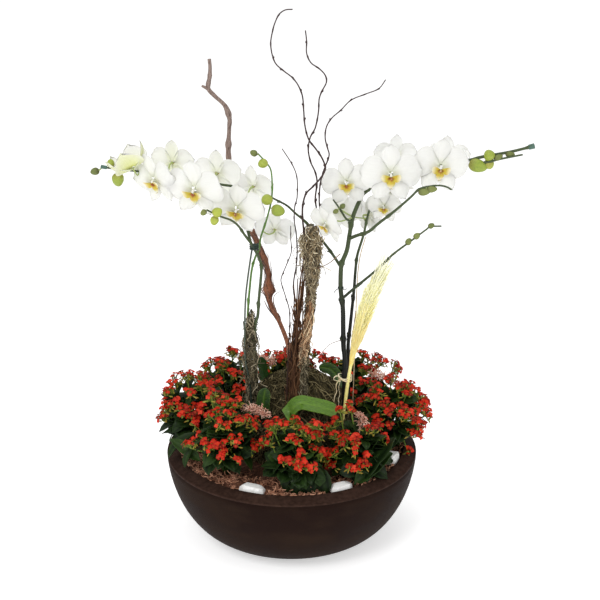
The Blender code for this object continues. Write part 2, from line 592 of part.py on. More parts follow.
def bloom_sheet(bloom):
    """Make a flower as an open cupped sheet: two broad petals and three narrower sepals."""
    angles = (90, 108, 122, 140, 172, 204, 219, 228, 237, 250, 270, 290, 303, 312, 321, 336, 8, 40, 58, 72)
    shape = bmesh.new()
    bmesh.ops.create_circle(shape, segments=len(angles), cap_ends=True, cap_tris=True, radius=1.0)
    rim = [edge for edge in shape.edges if edge.is_boundary]
    bmesh.ops.extrude_edge_only(shape, edges=rim)
    outer = {vertex for edge in shape.edges if edge.is_boundary for vertex in edge.verts}
    for vertex in shape.verts:
        if vertex.co.length < 0.5:
            continue
        number = round((math.atan2(vertex.co.y, vertex.co.x) % math.tau) / math.tau * len(angles)) % len(angles)
        angle = math.radians(angles[number])
        share = bloom_reach(angles[number]) if vertex in outer else BLOOM_MIDDLE
        lift = 0.10 * share if vertex in outer else 0.0
        vertex.co = Vector((share * math.cos(angle), share * math.sin(angle), lift)) * bloom.span
    bmesh.ops.recalc_face_normals(shape, faces=shape.faces)
    mesh = bpy.data.meshes.new("bloom")
    shape.to_mesh(mesh)
    shape.free()
    return mesh


def bloom_frame(bloom):
    """Give the matrix that carries a flower made facing +Z to its place."""
    normal = Vector(bloom.faces).normalized()
    side = Vector((0, 0, 1)).cross(normal).normalized()
    up = normal.cross(side)
    turn = Matrix((side, up, normal)).transposed().to_4x4()
    return Matrix.Translation(bloom.centre) @ turn @ Matrix.Rotation(bloom.roll, 4, "Z")


def make_blooms(blooms, stem_name, first, collection):
    """Place the flowers of one orchid, numbered on from first."""
    for number, bloom in enumerate(blooms, start=first):
        mesh = bloom_sheet(bloom)
        mesh.transform(bloom_frame(bloom))
        item = place(f"flower_{stem_name}_{number}", mesh, collection, "petal_white")
        add_modifier(item, "SOLIDIFY", thickness=BLOOM_THICKNESS, offset=0.0)


def pedicel_mesh(bloom, routes):
    """Make the short stalk from the nearest stem to just behind the middle of a flower."""
    normal = Vector(bloom.faces).normalized()
    end = Vector(bloom.centre) - normal * (BLOOM_THICKNESS / 2 + GAP)
    behind = end - normal * 0.012
    start = nearest_on(routes, end - normal * 0.022)
    middle = start.lerp(behind, 0.6) - Vector((0, 0, 0.003))
    route = [start, middle, behind, end]
    return tube_mesh(route, [PEDICEL_RADIUS] * len(route), 6)


def bud_meshes(buds, routes):
    """Make each bud as an egg shape, with a short stalk to the nearest stem."""
    made = []
    for bud in buds:
        centre = Vector(bud.centre)
        start = nearest_on(routes, centre)
        shape = bmesh.new()
        bmesh.ops.create_icosphere(shape, subdivisions=2 if bud.radius > 0.009 else 1, radius=bud.radius,
                                   matrix=Matrix.Translation(centre) @ Matrix.Diagonal((1.0, 0.9, 1.05, 1.0)))
        mesh = bpy.data.meshes.new("bud")
        shape.to_mesh(mesh)
        shape.free()
        made.append(mesh)
        if (centre - start).length > bud.radius * 0.5:
            made.append(tube_mesh([start, centre], [0.0011, 0.0011], 6))
    return made


def make_spike(name, stem, branches, blooms, buds, collection, guides):
    """Make one flower spike with its branches, pedicels and buds grown on to it."""
    item = place(name, stem_mesh(stem), collection, "orchid_stem")
    route = smooth_route(stem.points, stem.spacing / 3)
    routes = [route, *(smooth_route(branch.points, branch.spacing / 3) for branch in branches)]
    grown = [stem_mesh(branch) for branch in branches]
    grown += [pedicel_mesh(bloom, [route]) for bloom in blooms]
    grown += bud_meshes(buds, routes)
    if grown:
        combine(item, grown, "UNION", guides)
    return item


def strap_leaf(spine, width, hint, fold, thickness=LEAF_THICKNESS, clearance=0.0):
    """Make a strap leaf as a thin folded sheet along its spine, thickened to both sides."""
    route = smooth_route(spine, 0.014)
    if clearance:
        route[0] = route[0] + (route[0] - route[1]).normalized() * 2 * clearance
    shape = bmesh.new()
    bmesh.ops.create_grid(shape, x_segments=2, y_segments=len(route) - 1, size=1.0)
    for vertex in shape.verts:
        station = round((vertex.co.y + 1) / 2 * (len(route) - 1))
        along = station / (len(route) - 1)
        tangent = (route[min(station + 1, len(route) - 1)] - route[max(station - 1, 0)]).normalized()
        side = tangent.cross(Vector(hint)).normalized()
        lift = side.cross(tangent)
        half = width / 2 * (0.35 + 0.65 * math.sin(math.pi * min(0.12 + 0.80 * along, 1.0))) + 2 * clearance
        across = vertex.co.x
        vertex.co = route[station] + side * half * across + lift * half * fold * abs(across)
    bmesh.ops.triangulate(shape, faces=shape.faces, quad_method="FIXED")
    bmesh.ops.recalc_face_normals(shape, faces=shape.faces)
    mesh = bpy.data.meshes.new("leaf")
    shape.to_mesh(mesh)
    shape.free()
    holder = bpy.data.objects.new("leaf", mesh)
    bpy.context.scene.collection.objects.link(holder)
    add_modifier(holder, "SOLIDIFY", thickness=thickness + 2 * clearance, offset=0.0)
    seen = holder.evaluated_get(bpy.context.evaluated_depsgraph_get())
    solid = bpy.data.meshes.new_from_object(seen)
    bpy.data.objects.remove(holder, do_unlink=True)
    return solid


ORCHID_LEAVES = {
    "orchid_leaf_front": ([(0.020, -0.052, 0.222), (0.004, -0.067, 0.238), (-0.001, -0.076, 0.260),
                           (0.014, -0.079, 0.276), (0.036, -0.078, 0.272), (0.058, -0.077, 0.266),
                           (0.078, -0.076, 0.258)],
                          0.032, (0, -0.4, 1), 0.15),
    "orchid_leaf_left": ([(-0.047, -0.030, 0.226), (-0.050, -0.052, 0.240), (-0.050, -0.062, 0.268),
                          (-0.046, -0.062, 0.298)],
                         0.026, (0, -1, 0.2), 0.10),
    "orchid_leaf_right_back": ([(0.082, 0.040, 0.236), (0.086, 0.058, 0.260), (0.073, 0.066, 0.279),
                           (0.050, 0.068, 0.284)],
                               0.028, (0, -1, 0.3), 0.10),
    "orchid_leaf_left_back": ([(-0.040, 0.046, 0.218), (-0.048, 0.070, 0.242), (-0.052, 0.078, 0.272),
                               (-0.056, 0.078, 0.300)],
                              0.032, (0, 1, 0.2), 0.10),
}


# ---------------------------------------------------------------- moss, plume and tie

def make_sleeved(name, route, radii, stems, collection, guides, finish):
    """Make a soft roll of moss with a channel for each stem that runs through it."""
    sampled = smooth_route(route, 0.024)
    item = place(name, tube_mesh(sampled, even_radii(radii, len(sampled)), 8), collection, finish)
    combine(item, [stem_mesh(stem, GAP) for stem in stems], "DIFFERENCE", guides)
    return item


def plume_mesh(clearance=0.0):
    """Make the grass plume: a stalk that swells into a feathery head."""
    route = smooth_route(PLUME_ROUTE, 0.020)
    if clearance:
        route[0] = route[0] + (route[0] - route[1]).normalized() * clearance
    radii = even_radii(PLUME_RADII, len(route))
    return tube_mesh(route, [radius + clearance * 1.2 for radius in radii], 6)


def make_raffia(collection, guides):
    """Tie the right stems and the plume with one loop of raffia that has two loose ends."""
    held = []
    for stem in (RIGHT_SPIKE, RIGHT_SECOND_SPIKE):
        route, radii = stem_route(stem)
        held.append((place_on_route(route, RAFFIA_HEIGHT), radii[0]))
    stalk = smooth_route(PLUME_ROUTE, 0.020)
    held.append((place_on_route(stalk, RAFFIA_HEIGHT), PLUME_RADII[2] + GAP))
    middle = sum((centre for centre, _ in held), Vector()) / len(held)
    loop = []
    steps = 18
    for number in range(steps):
        angle = math.tau * number / steps
        way = Vector((math.cos(angle), math.sin(angle), 0))
        reach = max((centre - middle).dot(way) + radius for centre, radius in held)
        loop.append(middle + way * (reach + RAFFIA_RADIUS + GAP * 3))
    item = place("raffia_tie", tube_mesh(loop, [RAFFIA_RADIUS] * steps, 6, closed=True), collection, "raffia")
    knot = min(loop, key=lambda point: point.x + point.y)
    ends = []
    for swing in (-0.004, -0.016):
        end = [knot, knot + Vector((swing * 0.6, -0.006, -0.012)), knot + Vector((swing, -0.009, -0.032))]
        ends.append(tube_mesh(smooth_route(end, 0.010), [0.0012] * 5, 6))
    combine(item, ends, "UNION", guides)


# ---------------------------------------------------------------- assembly

def main():
    """Build every piece in its own node."""
    clear_scene()
    parts = new_collection(OBJECT_NAME)
    guides = new_collection("guides")

    make_bowl(parts)
    make_soil(parts)
    make_dressing(parts, guides)
    make_pebbles(parts)
    for plant in PLANTS:
        make_plant(plant, parts)

    left_buds = LEFT_BUDS + LEFT_LOW_BUDS
    right_buds = RIGHT_BUDS + RIGHT_MID_BUDS + RIGHT_LOW_BUDS + RIGHT_SMALL_BUDS
    right_branches = [RIGHT_BACK_BRANCH, RIGHT_MID_BRANCH, RIGHT_LOW_BRANCH, RIGHT_SMALL_BRANCH]
    make_spike("orchid_left_spike", LEFT_SPIKE, [LEFT_LOW_BRANCH], LEFT_BLOOMS, left_buds, parts, guides)
    make_spike("orchid_left_second_spike", LEFT_SECOND_SPIKE, [], LEFT_SECOND_BLOOMS, LEFT_SECOND_BUDS,
               parts, guides)
    make_spike("orchid_right_spike", RIGHT_SPIKE, right_branches, RIGHT_BLOOMS, right_buds, parts, guides)
    make_spike("orchid_right_second_spike", RIGHT_SECOND_SPIKE, [], RIGHT_SECOND_BLOOMS, [], parts, guides)
    make_blooms(LEFT_BLOOMS + LEFT_SECOND_BLOOMS, "left", 1, parts)
    make_blooms(RIGHT_BLOOMS + RIGHT_SECOND_BLOOMS, "right", 1, parts)

    place("stake_left", stem_mesh(STAKE), parts, "stake_dark")
    branch = place("thick_branch", stem_mesh(THICK_BRANCH), parts, "bark")
    combine(branch, [stem_mesh(BRANCH_STUB)], "UNION", guides)
    for name, stem in WILLOW.items():
        place(name, stem_mesh(stem), parts, "willow")

    held = [LEFT_SPIKE, LEFT_SECOND_SPIKE, STAKE, RIGHT_SPIKE, RIGHT_SECOND_SPIKE, THICK_BRANCH, *WILLOW.values()]
    mound = place("moss_mound", mound_mesh(), parts, "moss_fibre")
    sockets = [stem_mesh(stem, GAP) for stem in held] + [plume_mesh(GAP)]
    sockets += [strap_leaf(*shape, clearance=GAP) for shape in ORCHID_LEAVES.values()]
    combine(mound, sockets, "DIFFERENCE", guides)
    for name, shape in ORCHID_LEAVES.items():
        place(name, strap_leaf(*shape), parts, "orchid_leaf")

    make_sleeved("moss_column", COLUMN_ROUTE, COLUMN_RADII, WILLOW.values(), parts, guides, "hanging_moss")
    make_sleeved("moss_wrap_left", WRAP_ROUTE, WRAP_RADII, [LEFT_SPIKE, LEFT_SECOND_SPIKE, STAKE],
                 parts, guides, "hanging_moss")
    place("plume", plume_mesh(), parts, "plume")
    make_raffia(parts, guides)


main()
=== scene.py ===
"""Looks of the orchid arrangement: every surface of the bowl, its filling and its plants.

Metres, +Z up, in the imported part's own frame, with the front facing -Y. Two white moth orchids, curly
willow, a bare branch and a grass plume stand in a moss mound, inside a ring of red kalanchoe plants.
Tables of places, routes and radii are in millimetres, and metres() turns them.
"""

import json
import logging
import math
from collections.abc import Sequence
from dataclasses import dataclass, field
from enum import Enum

import bpy
import mathutils
import numpy as np
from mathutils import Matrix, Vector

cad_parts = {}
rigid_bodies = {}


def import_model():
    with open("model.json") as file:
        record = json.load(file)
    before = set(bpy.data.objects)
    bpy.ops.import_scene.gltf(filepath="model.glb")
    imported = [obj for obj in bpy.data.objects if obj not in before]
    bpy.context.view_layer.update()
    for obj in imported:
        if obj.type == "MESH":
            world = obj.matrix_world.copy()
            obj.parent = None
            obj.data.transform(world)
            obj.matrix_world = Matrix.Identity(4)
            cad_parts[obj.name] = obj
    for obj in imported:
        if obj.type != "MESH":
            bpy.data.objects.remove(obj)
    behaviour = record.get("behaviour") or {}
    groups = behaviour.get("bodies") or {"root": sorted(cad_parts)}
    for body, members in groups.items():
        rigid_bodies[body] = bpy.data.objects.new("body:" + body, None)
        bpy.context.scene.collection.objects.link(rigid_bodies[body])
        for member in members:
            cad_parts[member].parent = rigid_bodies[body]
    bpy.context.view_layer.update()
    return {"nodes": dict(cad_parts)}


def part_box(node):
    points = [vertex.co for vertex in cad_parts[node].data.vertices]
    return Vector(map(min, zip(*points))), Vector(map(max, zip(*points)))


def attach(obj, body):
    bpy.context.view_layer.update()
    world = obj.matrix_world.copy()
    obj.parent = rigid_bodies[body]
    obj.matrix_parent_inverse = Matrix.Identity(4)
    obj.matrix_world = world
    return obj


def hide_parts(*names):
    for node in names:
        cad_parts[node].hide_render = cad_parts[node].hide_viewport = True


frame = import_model()
ROOT = "root"
GOLDEN_TURN = 2.39996  # radians from one floret of a cluster to the next
log = logging.getLogger("arrangement")

Place = tuple[float, float, float]
Points = Sequence[Place]
Colour = tuple[float, float, float]
Array = np.ndarray
Chance = np.random.Generator


# ---------------- curves and frames

def metres(millimetres: Sequence) -> Array:
    """Turn millimetres into metres."""
    return np.asarray(millimetres, float) / 1000


def box(node: str) -> Array:
    """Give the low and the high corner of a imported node's box."""
    return np.array(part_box(node))


def unit(vectors: Array) -> Array:
    """Scale each vector to length one."""
    return vectors / np.maximum(np.linalg.norm(vectors, axis=-1, keepdims=True), 1e-12)


def smooth_route(points: Points, spacing: float) -> Array:
    """Sample a smooth curve through a few points.

    Args:
        points: The places that the curve passes, in order.
        spacing: The distance wanted between samples.

    Returns:
        The samples, one row each, ends included.
    """
    knots = np.asarray(points, float)
    ends = np.vstack([2 * knots[0] - knots[1], knots, 2 * knots[-1] - knots[-2]])
    t = np.linspace(0, 1, 12, endpoint=False)[:, None]
    spans = []
    for a, b, c, d in zip(ends, ends[1:], ends[2:], ends[3:]):
        bend = (2 * a - 5 * b + 4 * c - d) * t ** 2 + (3 * b - a - 3 * c + d) * t ** 3
        spans.append(0.5 * (2 * b + (c - a) * t + bend))
    dense = np.vstack([*spans, knots[-1:]])
    lengths = np.concatenate([[0.0], np.cumsum(np.linalg.norm(np.diff(dense, axis=0), axis=1))])
    goals = np.linspace(0, lengths[-1], max(2, round(lengths[-1] / spacing) + 1))
    return np.stack([np.interp(goals, lengths, dense[:, axis]) for axis in range(3)], axis=1)


def carried_frames(routes: Array) -> tuple[Array, Array, Array]:
    """Carry a frame along each route without twist.

    Args:
        routes: Routes by stations by three, or one route.

    Returns:
        The tangents, sides and lifts, each shaped like the routes.
    """
    if routes.ndim == 2:
        return tuple(part[0] for part in carried_frames(routes[None]))
    tangents = unit(np.gradient(routes, axis=1))
    steep = np.abs(tangents[:, 0, 2:3]) > 0.9
    guide = np.where(steep, (1.0, 0.0, 0.0), (0.0, 0.0, 1.0))
    sides = [unit(np.cross(tangents[:, 0], guide))]
    for station in range(1, routes.shape[1]):
        ahead = tangents[:, station]
        sides.append(unit(sides[-1] - (sides[-1] * ahead).sum(-1, keepdims=True) * ahead))
    sides = np.stack(sides, axis=1)
    return tangents, sides, np.cross(tangents, sides)


def facing(normals: Array, roll: Array | float = 0.0) -> Array:
    """Give turns whose third axis looks along each normal and whose second axis is as upright as it can be.

    Args:
        normals: One direction a row.
        roll: Turn about the normal, in radians.

    Returns:
        A three by three matrix for each normal, with the axes as columns.
    """
    normals = unit(np.atleast_2d(np.asarray(normals, float)))
    upright = np.where(np.abs(normals[:, 2:3]) > 0.98, (0.0, 1.0, 0.0), (0.0, 0.0, 1.0))
    side = unit(np.cross(upright, normals))
    roll = np.broadcast_to(roll, len(normals))[:, None]
    side = side * np.cos(roll) + np.cross(normals, side) * np.sin(roll)
    return np.stack([side, np.cross(normals, side), normals], axis=2)


def spin(angle: float) -> Array:
    """Give the turn by an angle about Z."""
    cosine, sine = math.cos(angle), math.sin(angle)
    return np.array([(cosine, -sine, 0), (sine, cosine, 0), (0, 0, 1)])


def outline(t: Array, claw: float, peak: float, blunt: float) -> Array:
    """Half width of a petal or leaf along its length, as a share of its widest.

    Args:
        t: Places along the length, from 0 at the base to 1 at the tip.
        claw: Width share at the base.
        peak: Where it is widest.
        blunt: 2 for an elliptic tip, less for a pointed one.

    Returns:
        The width share at each place, never quite nothing.
    """
    rise = claw + (1 - claw) * np.sin(math.pi / 2 * np.clip(t / peak, 0, 1))
    past = np.clip((t - peak) / (1 - peak), 0, 1)
    return np.maximum(np.where(t < peak, rise, np.sqrt(np.clip(1 - past ** blunt, 0, 1))), 0.03)


# ---------------- drafting meshes

class Draft:
    """Gathers the points, dyes and faces of a piece before it becomes a mesh.

    A dye has four shares: how one leaf or strand differs from the next, how far along it a point
    lies, a tint that each finish reads in its own way, and how far across a sheet the point lies.
    """

    def __init__(self) -> None:
        """Start with nothing."""
        self.points: list[Array] = []
        self.dyes: list[Array] = []
        self.faces: list[tuple[Array, int]] = []
        self.count = 0

    def add(self, points: Array, faces: Sequence[tuple[Array, int]], dyes: Array) -> None:
        """Add points and the faces between them.

        Args:
            points: The points, in any shape that ends in three.
            faces: Blocks of faces, numbered from the first point, with the finish of each block.
            dyes: The four shares of each point's dye.
        """
        self.points.append(points.reshape(-1, 3))
        self.dyes.append(dyes.reshape(-1, 4))
        self.faces.extend((block + self.count, slot) for block, slot in faces)
        self.count += len(self.points[-1])

    def tubes(self, routes: Array, radii: Array | float, sides: int = 3, slot: int = 0,
              shade: Array | float = 0.5, tint: Array | float = 0.0, flat: float = 1.0) -> None:
        """Add closed round or flattened tubes along routes that have the same number of stations.

        Args:
            routes: Routes by stations by three, or one route.
            radii: One radius, or one for each station of each route.
            sides: Corners of the section.
            slot: The finish it takes.
            shade: The first share of the dye, for each route.
            tint: The third share of the dye, for each route and station.
            flat: The section's thickness as a share of its width.
        """
        routes = np.asarray(routes, float).reshape(-1, *np.shape(routes)[-2:])
        number, stations = routes.shape[:2]
        _, side, lift = carried_frames(routes)
        turn = np.arange(sides) * math.tau / sides
        ring = side[:, :, None] * np.cos(turn)[:, None] + lift[:, :, None] * np.sin(turn)[:, None] * flat
        radii = np.broadcast_to(radii, (number, stations))
        points = routes[:, :, None] + ring * radii[:, :, None, None]
        self.rings(points, slot, np.broadcast_to(shade, number)[:, None, None], tint)

    def rings(self, points: Array, slot: int, shade: Array | float, tint: Array | float) -> None:
        """Add closed shapes from rings of points.

        Args:
            points: Shapes by rings by corners by three.
            slot: The finish they take.
            shade: The first share of the dye.
            tint: The third share of the dye, for each shape and ring.
        """
        number, rings, corners = points.shape[:3]
        index = np.arange(number * rings * corners).reshape(number, rings, corners)
        near, far = index[:, :-1], index[:, 1:]
        walls = np.stack([near, np.roll(near, -1, 2), np.roll(far, -1, 2), far], axis=-1).reshape(-1, 4)
        dyes = np.full((*points.shape[:-1], 4), 0.5)
        dyes[..., 0] = shade
        dyes[..., 1] = np.linspace(0, 1, rings)[:, None]
        dyes[..., 2] = np.broadcast_to(tint, (number, rings))[:, :, None]
        self.add(points, [(walls, slot), (index[:, 0, ::-1], slot), (index[:, -1], slot)], dyes)

    def sheet(self, grid: Array, thickness: Array | float, slot: int = 0, shade: float = 0.5,
              tint: Array | float = 0.0, back_tint: Array | float | None = None) -> None:
        """Add a thin closed sheet whose two faces follow a grid of points.

        Args:
            grid: Rows across by places along by three; the face looks along rows crossed with places.
            thickness: One thickness, or one for each point.
            slot: The finish it takes.
            shade: The first share of the dye.
            tint: The third share of the dye on the face.
            back_tint: The same on the back, if it differs.
        """
        rows, stations = grid.shape[:2]
        normals = unit(np.cross(np.gradient(grid, axis=0), np.gradient(grid, axis=1)))
        half = normals * np.broadcast_to(thickness, (rows, stations))[..., None] / 2
        points = np.stack([grid + half, grid - half])
        under = rows * stations
        index = np.arange(under).reshape(rows, stations)
        face = np.stack([index[:-1, :-1], index[1:, :-1], index[1:, 1:], index[:-1, 1:]], axis=-1)
        face = face.reshape(-1, 4)
        rim = np.concatenate([index[:-1, 0], index[-1, :-1], index[:0:-1, -1], index[0, :0:-1]])
        ahead = np.roll(rim, -1)
        edge = np.stack([rim, rim + under, ahead + under, ahead], axis=-1)
        dyes = np.full((*points.shape[:-1], 4), shade)
        dyes[..., 1] = np.linspace(0, 1, stations)
        dyes[..., 3] = np.linspace(0, 1, rows)[:, None]
        dyes[0, ..., 2] = tint
        dyes[1, ..., 2] = tint if back_tint is None else back_tint
        self.add(points, [(face, slot), (face[:, ::-1] + under, slot), (edge, slot)], dyes)

    def turned(self, profile: Array, steps: int, slot: int = 0, shade: float = 0.5,
               tint: Array | float = 0.0) -> Array:
        """Add a profile turned about Z and closed at both of its ends.

        Args:
            profile: Radius and height of each profile point, with the outer side on its right.
            steps: Faces round the turn.
            slot: The finish it takes.
            shade: The first share of the dye.
            tint: The third share of the dye at each profile point.

        Returns:
            The points, which may still be moved.
        """
        turn = np.arange(steps) * math.tau / steps
        radius, height = profile[:, 0][:, None], profile[:, 1][:, None]
        points = np.stack([radius * np.cos(turn), radius * np.sin(turn), height + 0 * turn], axis=-1)
        self.rings(points[None], slot, shade, tint)
        return self.points[-1]

    def scatter(self, pattern: "Draft", turns: Array, spots: Array, shades: Array) -> None:
        """Add a copy of a pattern for each turn and spot.

        Args:
            pattern: The draft to copy.
            turns: A three by three matrix for each copy, which may also scale.
            spots: Where each copy's origin goes.
            shades: The first share of each copy's dye.
        """
        points, dyes = np.vstack(pattern.points), np.vstack(pattern.dyes)
        moved = np.einsum("kij,pj->kpi", turns, points) + spots[:, None]
        many = np.broadcast_to(dyes, (len(spots), *dyes.shape)).copy()
        many[:, :, 0] = shades[:, None]
        starts = np.arange(len(spots))[:, None, None] * len(points)
        faces = [((block + starts).reshape(-1, block.shape[1]), slot) for block, slot in pattern.faces]
        self.add(moved, faces, many)

    def piece(self, name: str, slot: str, *finishes: "Finish", nodes: Sequence[str] = (),
              sharp: float = 60.0) -> bpy.types.Object:
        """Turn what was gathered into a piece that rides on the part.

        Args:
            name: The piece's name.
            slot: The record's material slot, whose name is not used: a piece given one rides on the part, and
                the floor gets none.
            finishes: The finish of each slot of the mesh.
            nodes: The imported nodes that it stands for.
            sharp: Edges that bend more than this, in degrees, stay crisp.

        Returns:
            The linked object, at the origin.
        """
        mesh = bpy.data.meshes.new(name)
        widths = np.concatenate([np.full(len(block), block.shape[1]) for block, _ in self.faces])
        corners = np.concatenate([block.ravel() for block, _ in self.faces])
        slots = np.concatenate([np.full(len(block), number) for block, number in self.faces])
        mesh.vertices.add(self.count)
        mesh.vertices.foreach_set("co", np.vstack(self.points).astype(np.float32).ravel())
        mesh.loops.add(len(corners))
        mesh.loops.foreach_set("vertex_index", corners.astype(np.int32))
        mesh.polygons.add(len(widths))
        mesh.polygons.foreach_set("loop_start", (np.cumsum(widths) - widths).astype(np.int32))
        mesh.polygons.foreach_set("material_index", slots.astype(np.int32))
        mesh.update(calc_edges=True)
        dye = mesh.attributes.new("dye", "FLOAT_COLOR", "POINT")
        dye.data.foreach_set("color", np.vstack(self.dyes).astype(np.float32).ravel())
        for finish in finishes:
            mesh.materials.append(finish.made())
        mesh.shade_smooth()
        mesh.set_sharp_from_angle(angle=math.radians(sharp))
        piece = bpy.data.objects.new(name, mesh)
        bpy.context.scene.collection.objects.link(piece)
        if slot:
            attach(piece, ROOT)
            if nodes:
                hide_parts(*nodes)
        log.info("%s: %d faces, for %s", name, len(widths), ", ".join(nodes) or "detail")
        return piece


# ---------------- finishes

Socket = bpy.types.NodeSocket


class NodeBench:
    """Lays out the nodes of one finish round its Principled shader."""

    def __init__(self, name: str) -> None:
        """Start a material.

        Args:
            name: Its name.
        """
        self.material = bpy.data.materials.new(name)
        self.material.use_nodes = True
        self.nodes = self.material.node_tree.nodes
        self.links = self.material.node_tree.links
        self.shader = self.nodes["Principled BSDF"]
        self.place = self.node("TexCoord").outputs["Object"]
        dye = self.node("Attribute", attribute_name="dye")
        shares = self.node("SeparateColor", {"Color": dye.outputs["Color"]})
        self.shade, self.along, self.tint = shares.outputs
        self.across = dye.outputs["Alpha"]

    def node(self, kind: str, feeds: dict | None = None, **settings: object) -> bpy.types.Node:
        """Add a node.

        Args:
            kind: The node's kind, without the word that all kinds start with.
            feeds: Values or links for its inputs.
            settings: Its other settings.

        Returns:
            The node.
        """
        made = self.nodes.new(f"ShaderNode{kind}")
        for key, value in settings.items():
            setattr(made, key, value)
        for key, value in (feeds or {}).items():
            self.feed(made.inputs[key], value)
        return made

    def feed(self, socket: Socket, value: object) -> None:
        """Link a socket to another, or set its value.

        Args:
            socket: The input to feed.
            value: Another socket, or a plain value.
        """
        if isinstance(value, Socket):
            self.links.new(value, socket)
        else:
            socket.default_value = (*value, 1.0) if socket.type == "RGBA" else value

    def noise(self, scale: float, detail: float = 3.0, stretch: tuple = ()) -> Socket:
        """Give a cloud of values round a half.

        Args:
            scale: Grains a metre.
            detail: How many finer layers it has.
            stretch: The grains along each axis as a share, if they differ.

        Returns:
            The cloud.
        """
        place = self.place
        if stretch:
            place = self.node("Mapping", {"Vector": place, "Scale": stretch}).outputs["Vector"]
        cloud = self.node("TexNoise", {"Vector": place, "Scale": scale, "Detail": detail, "Roughness": 0.6})
        return cloud.outputs["Fac"]

    def cells(self, scale: float) -> Socket:
        """Give the distance to the nearest of many scattered seeds."""
        return self.node("TexVoronoi", {"Vector": self.place, "Scale": scale}).outputs["Distance"]

    def ramp(self, factor: Socket, *stops: tuple[float, Colour]) -> Socket:
        """Give a colour that follows a factor.

        Args:
            factor: A value from 0 to 1.
            stops: The places and colours that it passes.

        Returns:
            The colour.
        """
        made = self.node("ValToRGB", {"Fac": factor})
        elements = made.color_ramp.elements
        while len(elements) < len(stops):
            elements.new(1.0)
        for element, (position, colour) in zip(elements, stops):
            element.position = position
            element.color = (*colour, 1.0)
        return made.outputs["Color"]

    def mix(self, factor: object, first: object, second: object) -> Socket:
        """Blend two colours."""
        return self.node("Mix", {0: factor, 6: first, 7: second}, data_type="RGBA").outputs[2]

    def maths(self, kind: str, first: object, second: object = 0.0, clamp: bool = True) -> Socket:
        """Combine two values, held between nothing and one unless said otherwise."""
        return self.node("Math", {0: first, 1: second}, operation=kind, use_clamp=clamp).outputs[0]

    def times(self, first: object, second: object) -> Socket:
        """Multiply two values, held between nothing and one."""
        return self.maths("MULTIPLY", first, second)

    def spread(self, factor: Socket, low: float, high: float, to_low: float = 0,
               to_high: float = 1) -> Socket:
        """Carry a range of values on to another, held at its ends."""
        return self.node("MapRange", {0: factor, 1: low, 2: high, 3: to_low, 4: to_high}).outputs[0]

    def around(self, cloud: Socket, low: float, high: float) -> Socket:
        """Carry the usual range of a cloud on to another."""
        return self.spread(cloud, 0.3, 0.7, low, high)

    def varied(self, cloud: Socket, low: float, high: float) -> Socket:
        """Give the shade, moved by a cloud."""
        return self.maths("ADD", self.shade, self.around(cloud, low, high))

    def finish(self, colour: Socket, cloud: Socket, rough: tuple[float, float], relief: Socket | None = None,
               depth: float = 0.0, specular: float = 0.5, **sockets: object) -> None:
        """Feed the shader.

        Args:
            colour: The base colour.
            cloud: What varies the roughness.
            rough: The range of the roughness.
            relief: The heights of the relief, from 0 to 1.
            depth: How deep that relief is, in metres.
            specular: The strength of plain reflections, 0.5 for a usual one.
            sockets: Other shader inputs by name, with _ for a space.
        """
        feeds = {"Base Color": colour, "Roughness": self.around(cloud, *rough),
                 "Specular IOR Level": specular}
        if relief is not None:
            bump = self.node("Bump", {"Height": relief, "Distance": depth, "Strength": 1.0})
            feeds["Normal"] = bump.outputs["Normal"]
        for key, value in {**feeds, **sockets}.items():
            self.feed(self.shader.inputs[key.replace("_", " ")], value)


@dataclass(frozen=True)
class CastBowl:
    """Matt brown cast bowl: fine grain, cloudy patina and a lighter lip, partly rubbed wear and partly
    painted highlight.
    """

    body: Colour = (0.016, 0.0072, 0.0052)
    worn: Colour = (0.03, 0.0165, 0.0105)
    # Lighter colour of the lip: wear and painted highlight.
    lip: Colour = (0.062, 0.033, 0.024)
    speck: Colour = (0.008, 0.005, 0.004)

    def lay(self, bench: NodeBench) -> None:
        """Lay out its nodes.

        Args:
            bench: Where they go.
        """
        clouds = bench.noise(9, 5, (1, 1, 2.2))
        grain = bench.noise(900, 4)
        pits = bench.spread(bench.cells(420), 0.05, 0.28)
        colour = bench.mix(bench.spread(clouds, 0.42, 0.72), self.body, self.worn)
        # The lip takes the lighter colour in a mottle: partly rubbed wear, partly painted highlight where
        # light falls on the lip from above.
        lip_rub_and_sheen = bench.spread(bench.noise(140, 5), 0.35, 0.65, 0.35, 1)
        colour = bench.mix(bench.times(bench.tint, lip_rub_and_sheen), colour, self.lip)
        colour = bench.mix(bench.spread(grain, 0.35, 0.7), bench.mix(0.4, colour, self.speck), colour)
        heights = bench.maths("ADD", bench.times(grain, 0.6), 0.2)
        bench.finish(colour, clouds, (0.50, 0.68), bench.times(heights, pits), 0.0005, 0.03)


@dataclass(frozen=True)
class Grit:
    """Dark crumbly potting soil."""

    dark: Colour = (0.01, 0.007, 0.005)
    light: Colour = (0.06, 0.04, 0.025)

    def lay(self, bench: NodeBench) -> None:
        """Lay out its nodes.

        Args:
            bench: Where they go.
        """
        crumbs = bench.noise(260, 6)
        relief = bench.times(crumbs, bench.cells(140))
        colour = bench.ramp(crumbs, (0.35, self.dark), (0.7, self.light))
        bench.finish(colour, crumbs, (0.85, 1), relief, 0.004, 0.2)


@dataclass(frozen=True)
class Fibre:
    """Dry plant fibre whose strands run from a dark to a light colour, paler towards their ends."""

    dark: Colour
    middle: Colour
    light: Colour
    end: float = 0.25

    def lay(self, bench: NodeBench) -> None:
        """Lay out its nodes.

        Args:
            bench: Where they go.
        """
        flecks = bench.noise(420)
        pick = bench.varied(flecks, -0.18, 0.18)
        colour = bench.ramp(pick, (0.05, self.dark), (0.5, self.middle), (0.97, self.light))
        colour = bench.mix(bench.times(bench.along, self.end), colour, self.light)
        # The tint pulls the colour to the dark one: painted shade, given only to the core of a hank.
        bench.finish(bench.mix(bench.tint, colour, self.dark), flecks, (0.73, 0.95), flecks, 0.0003, 0.2)


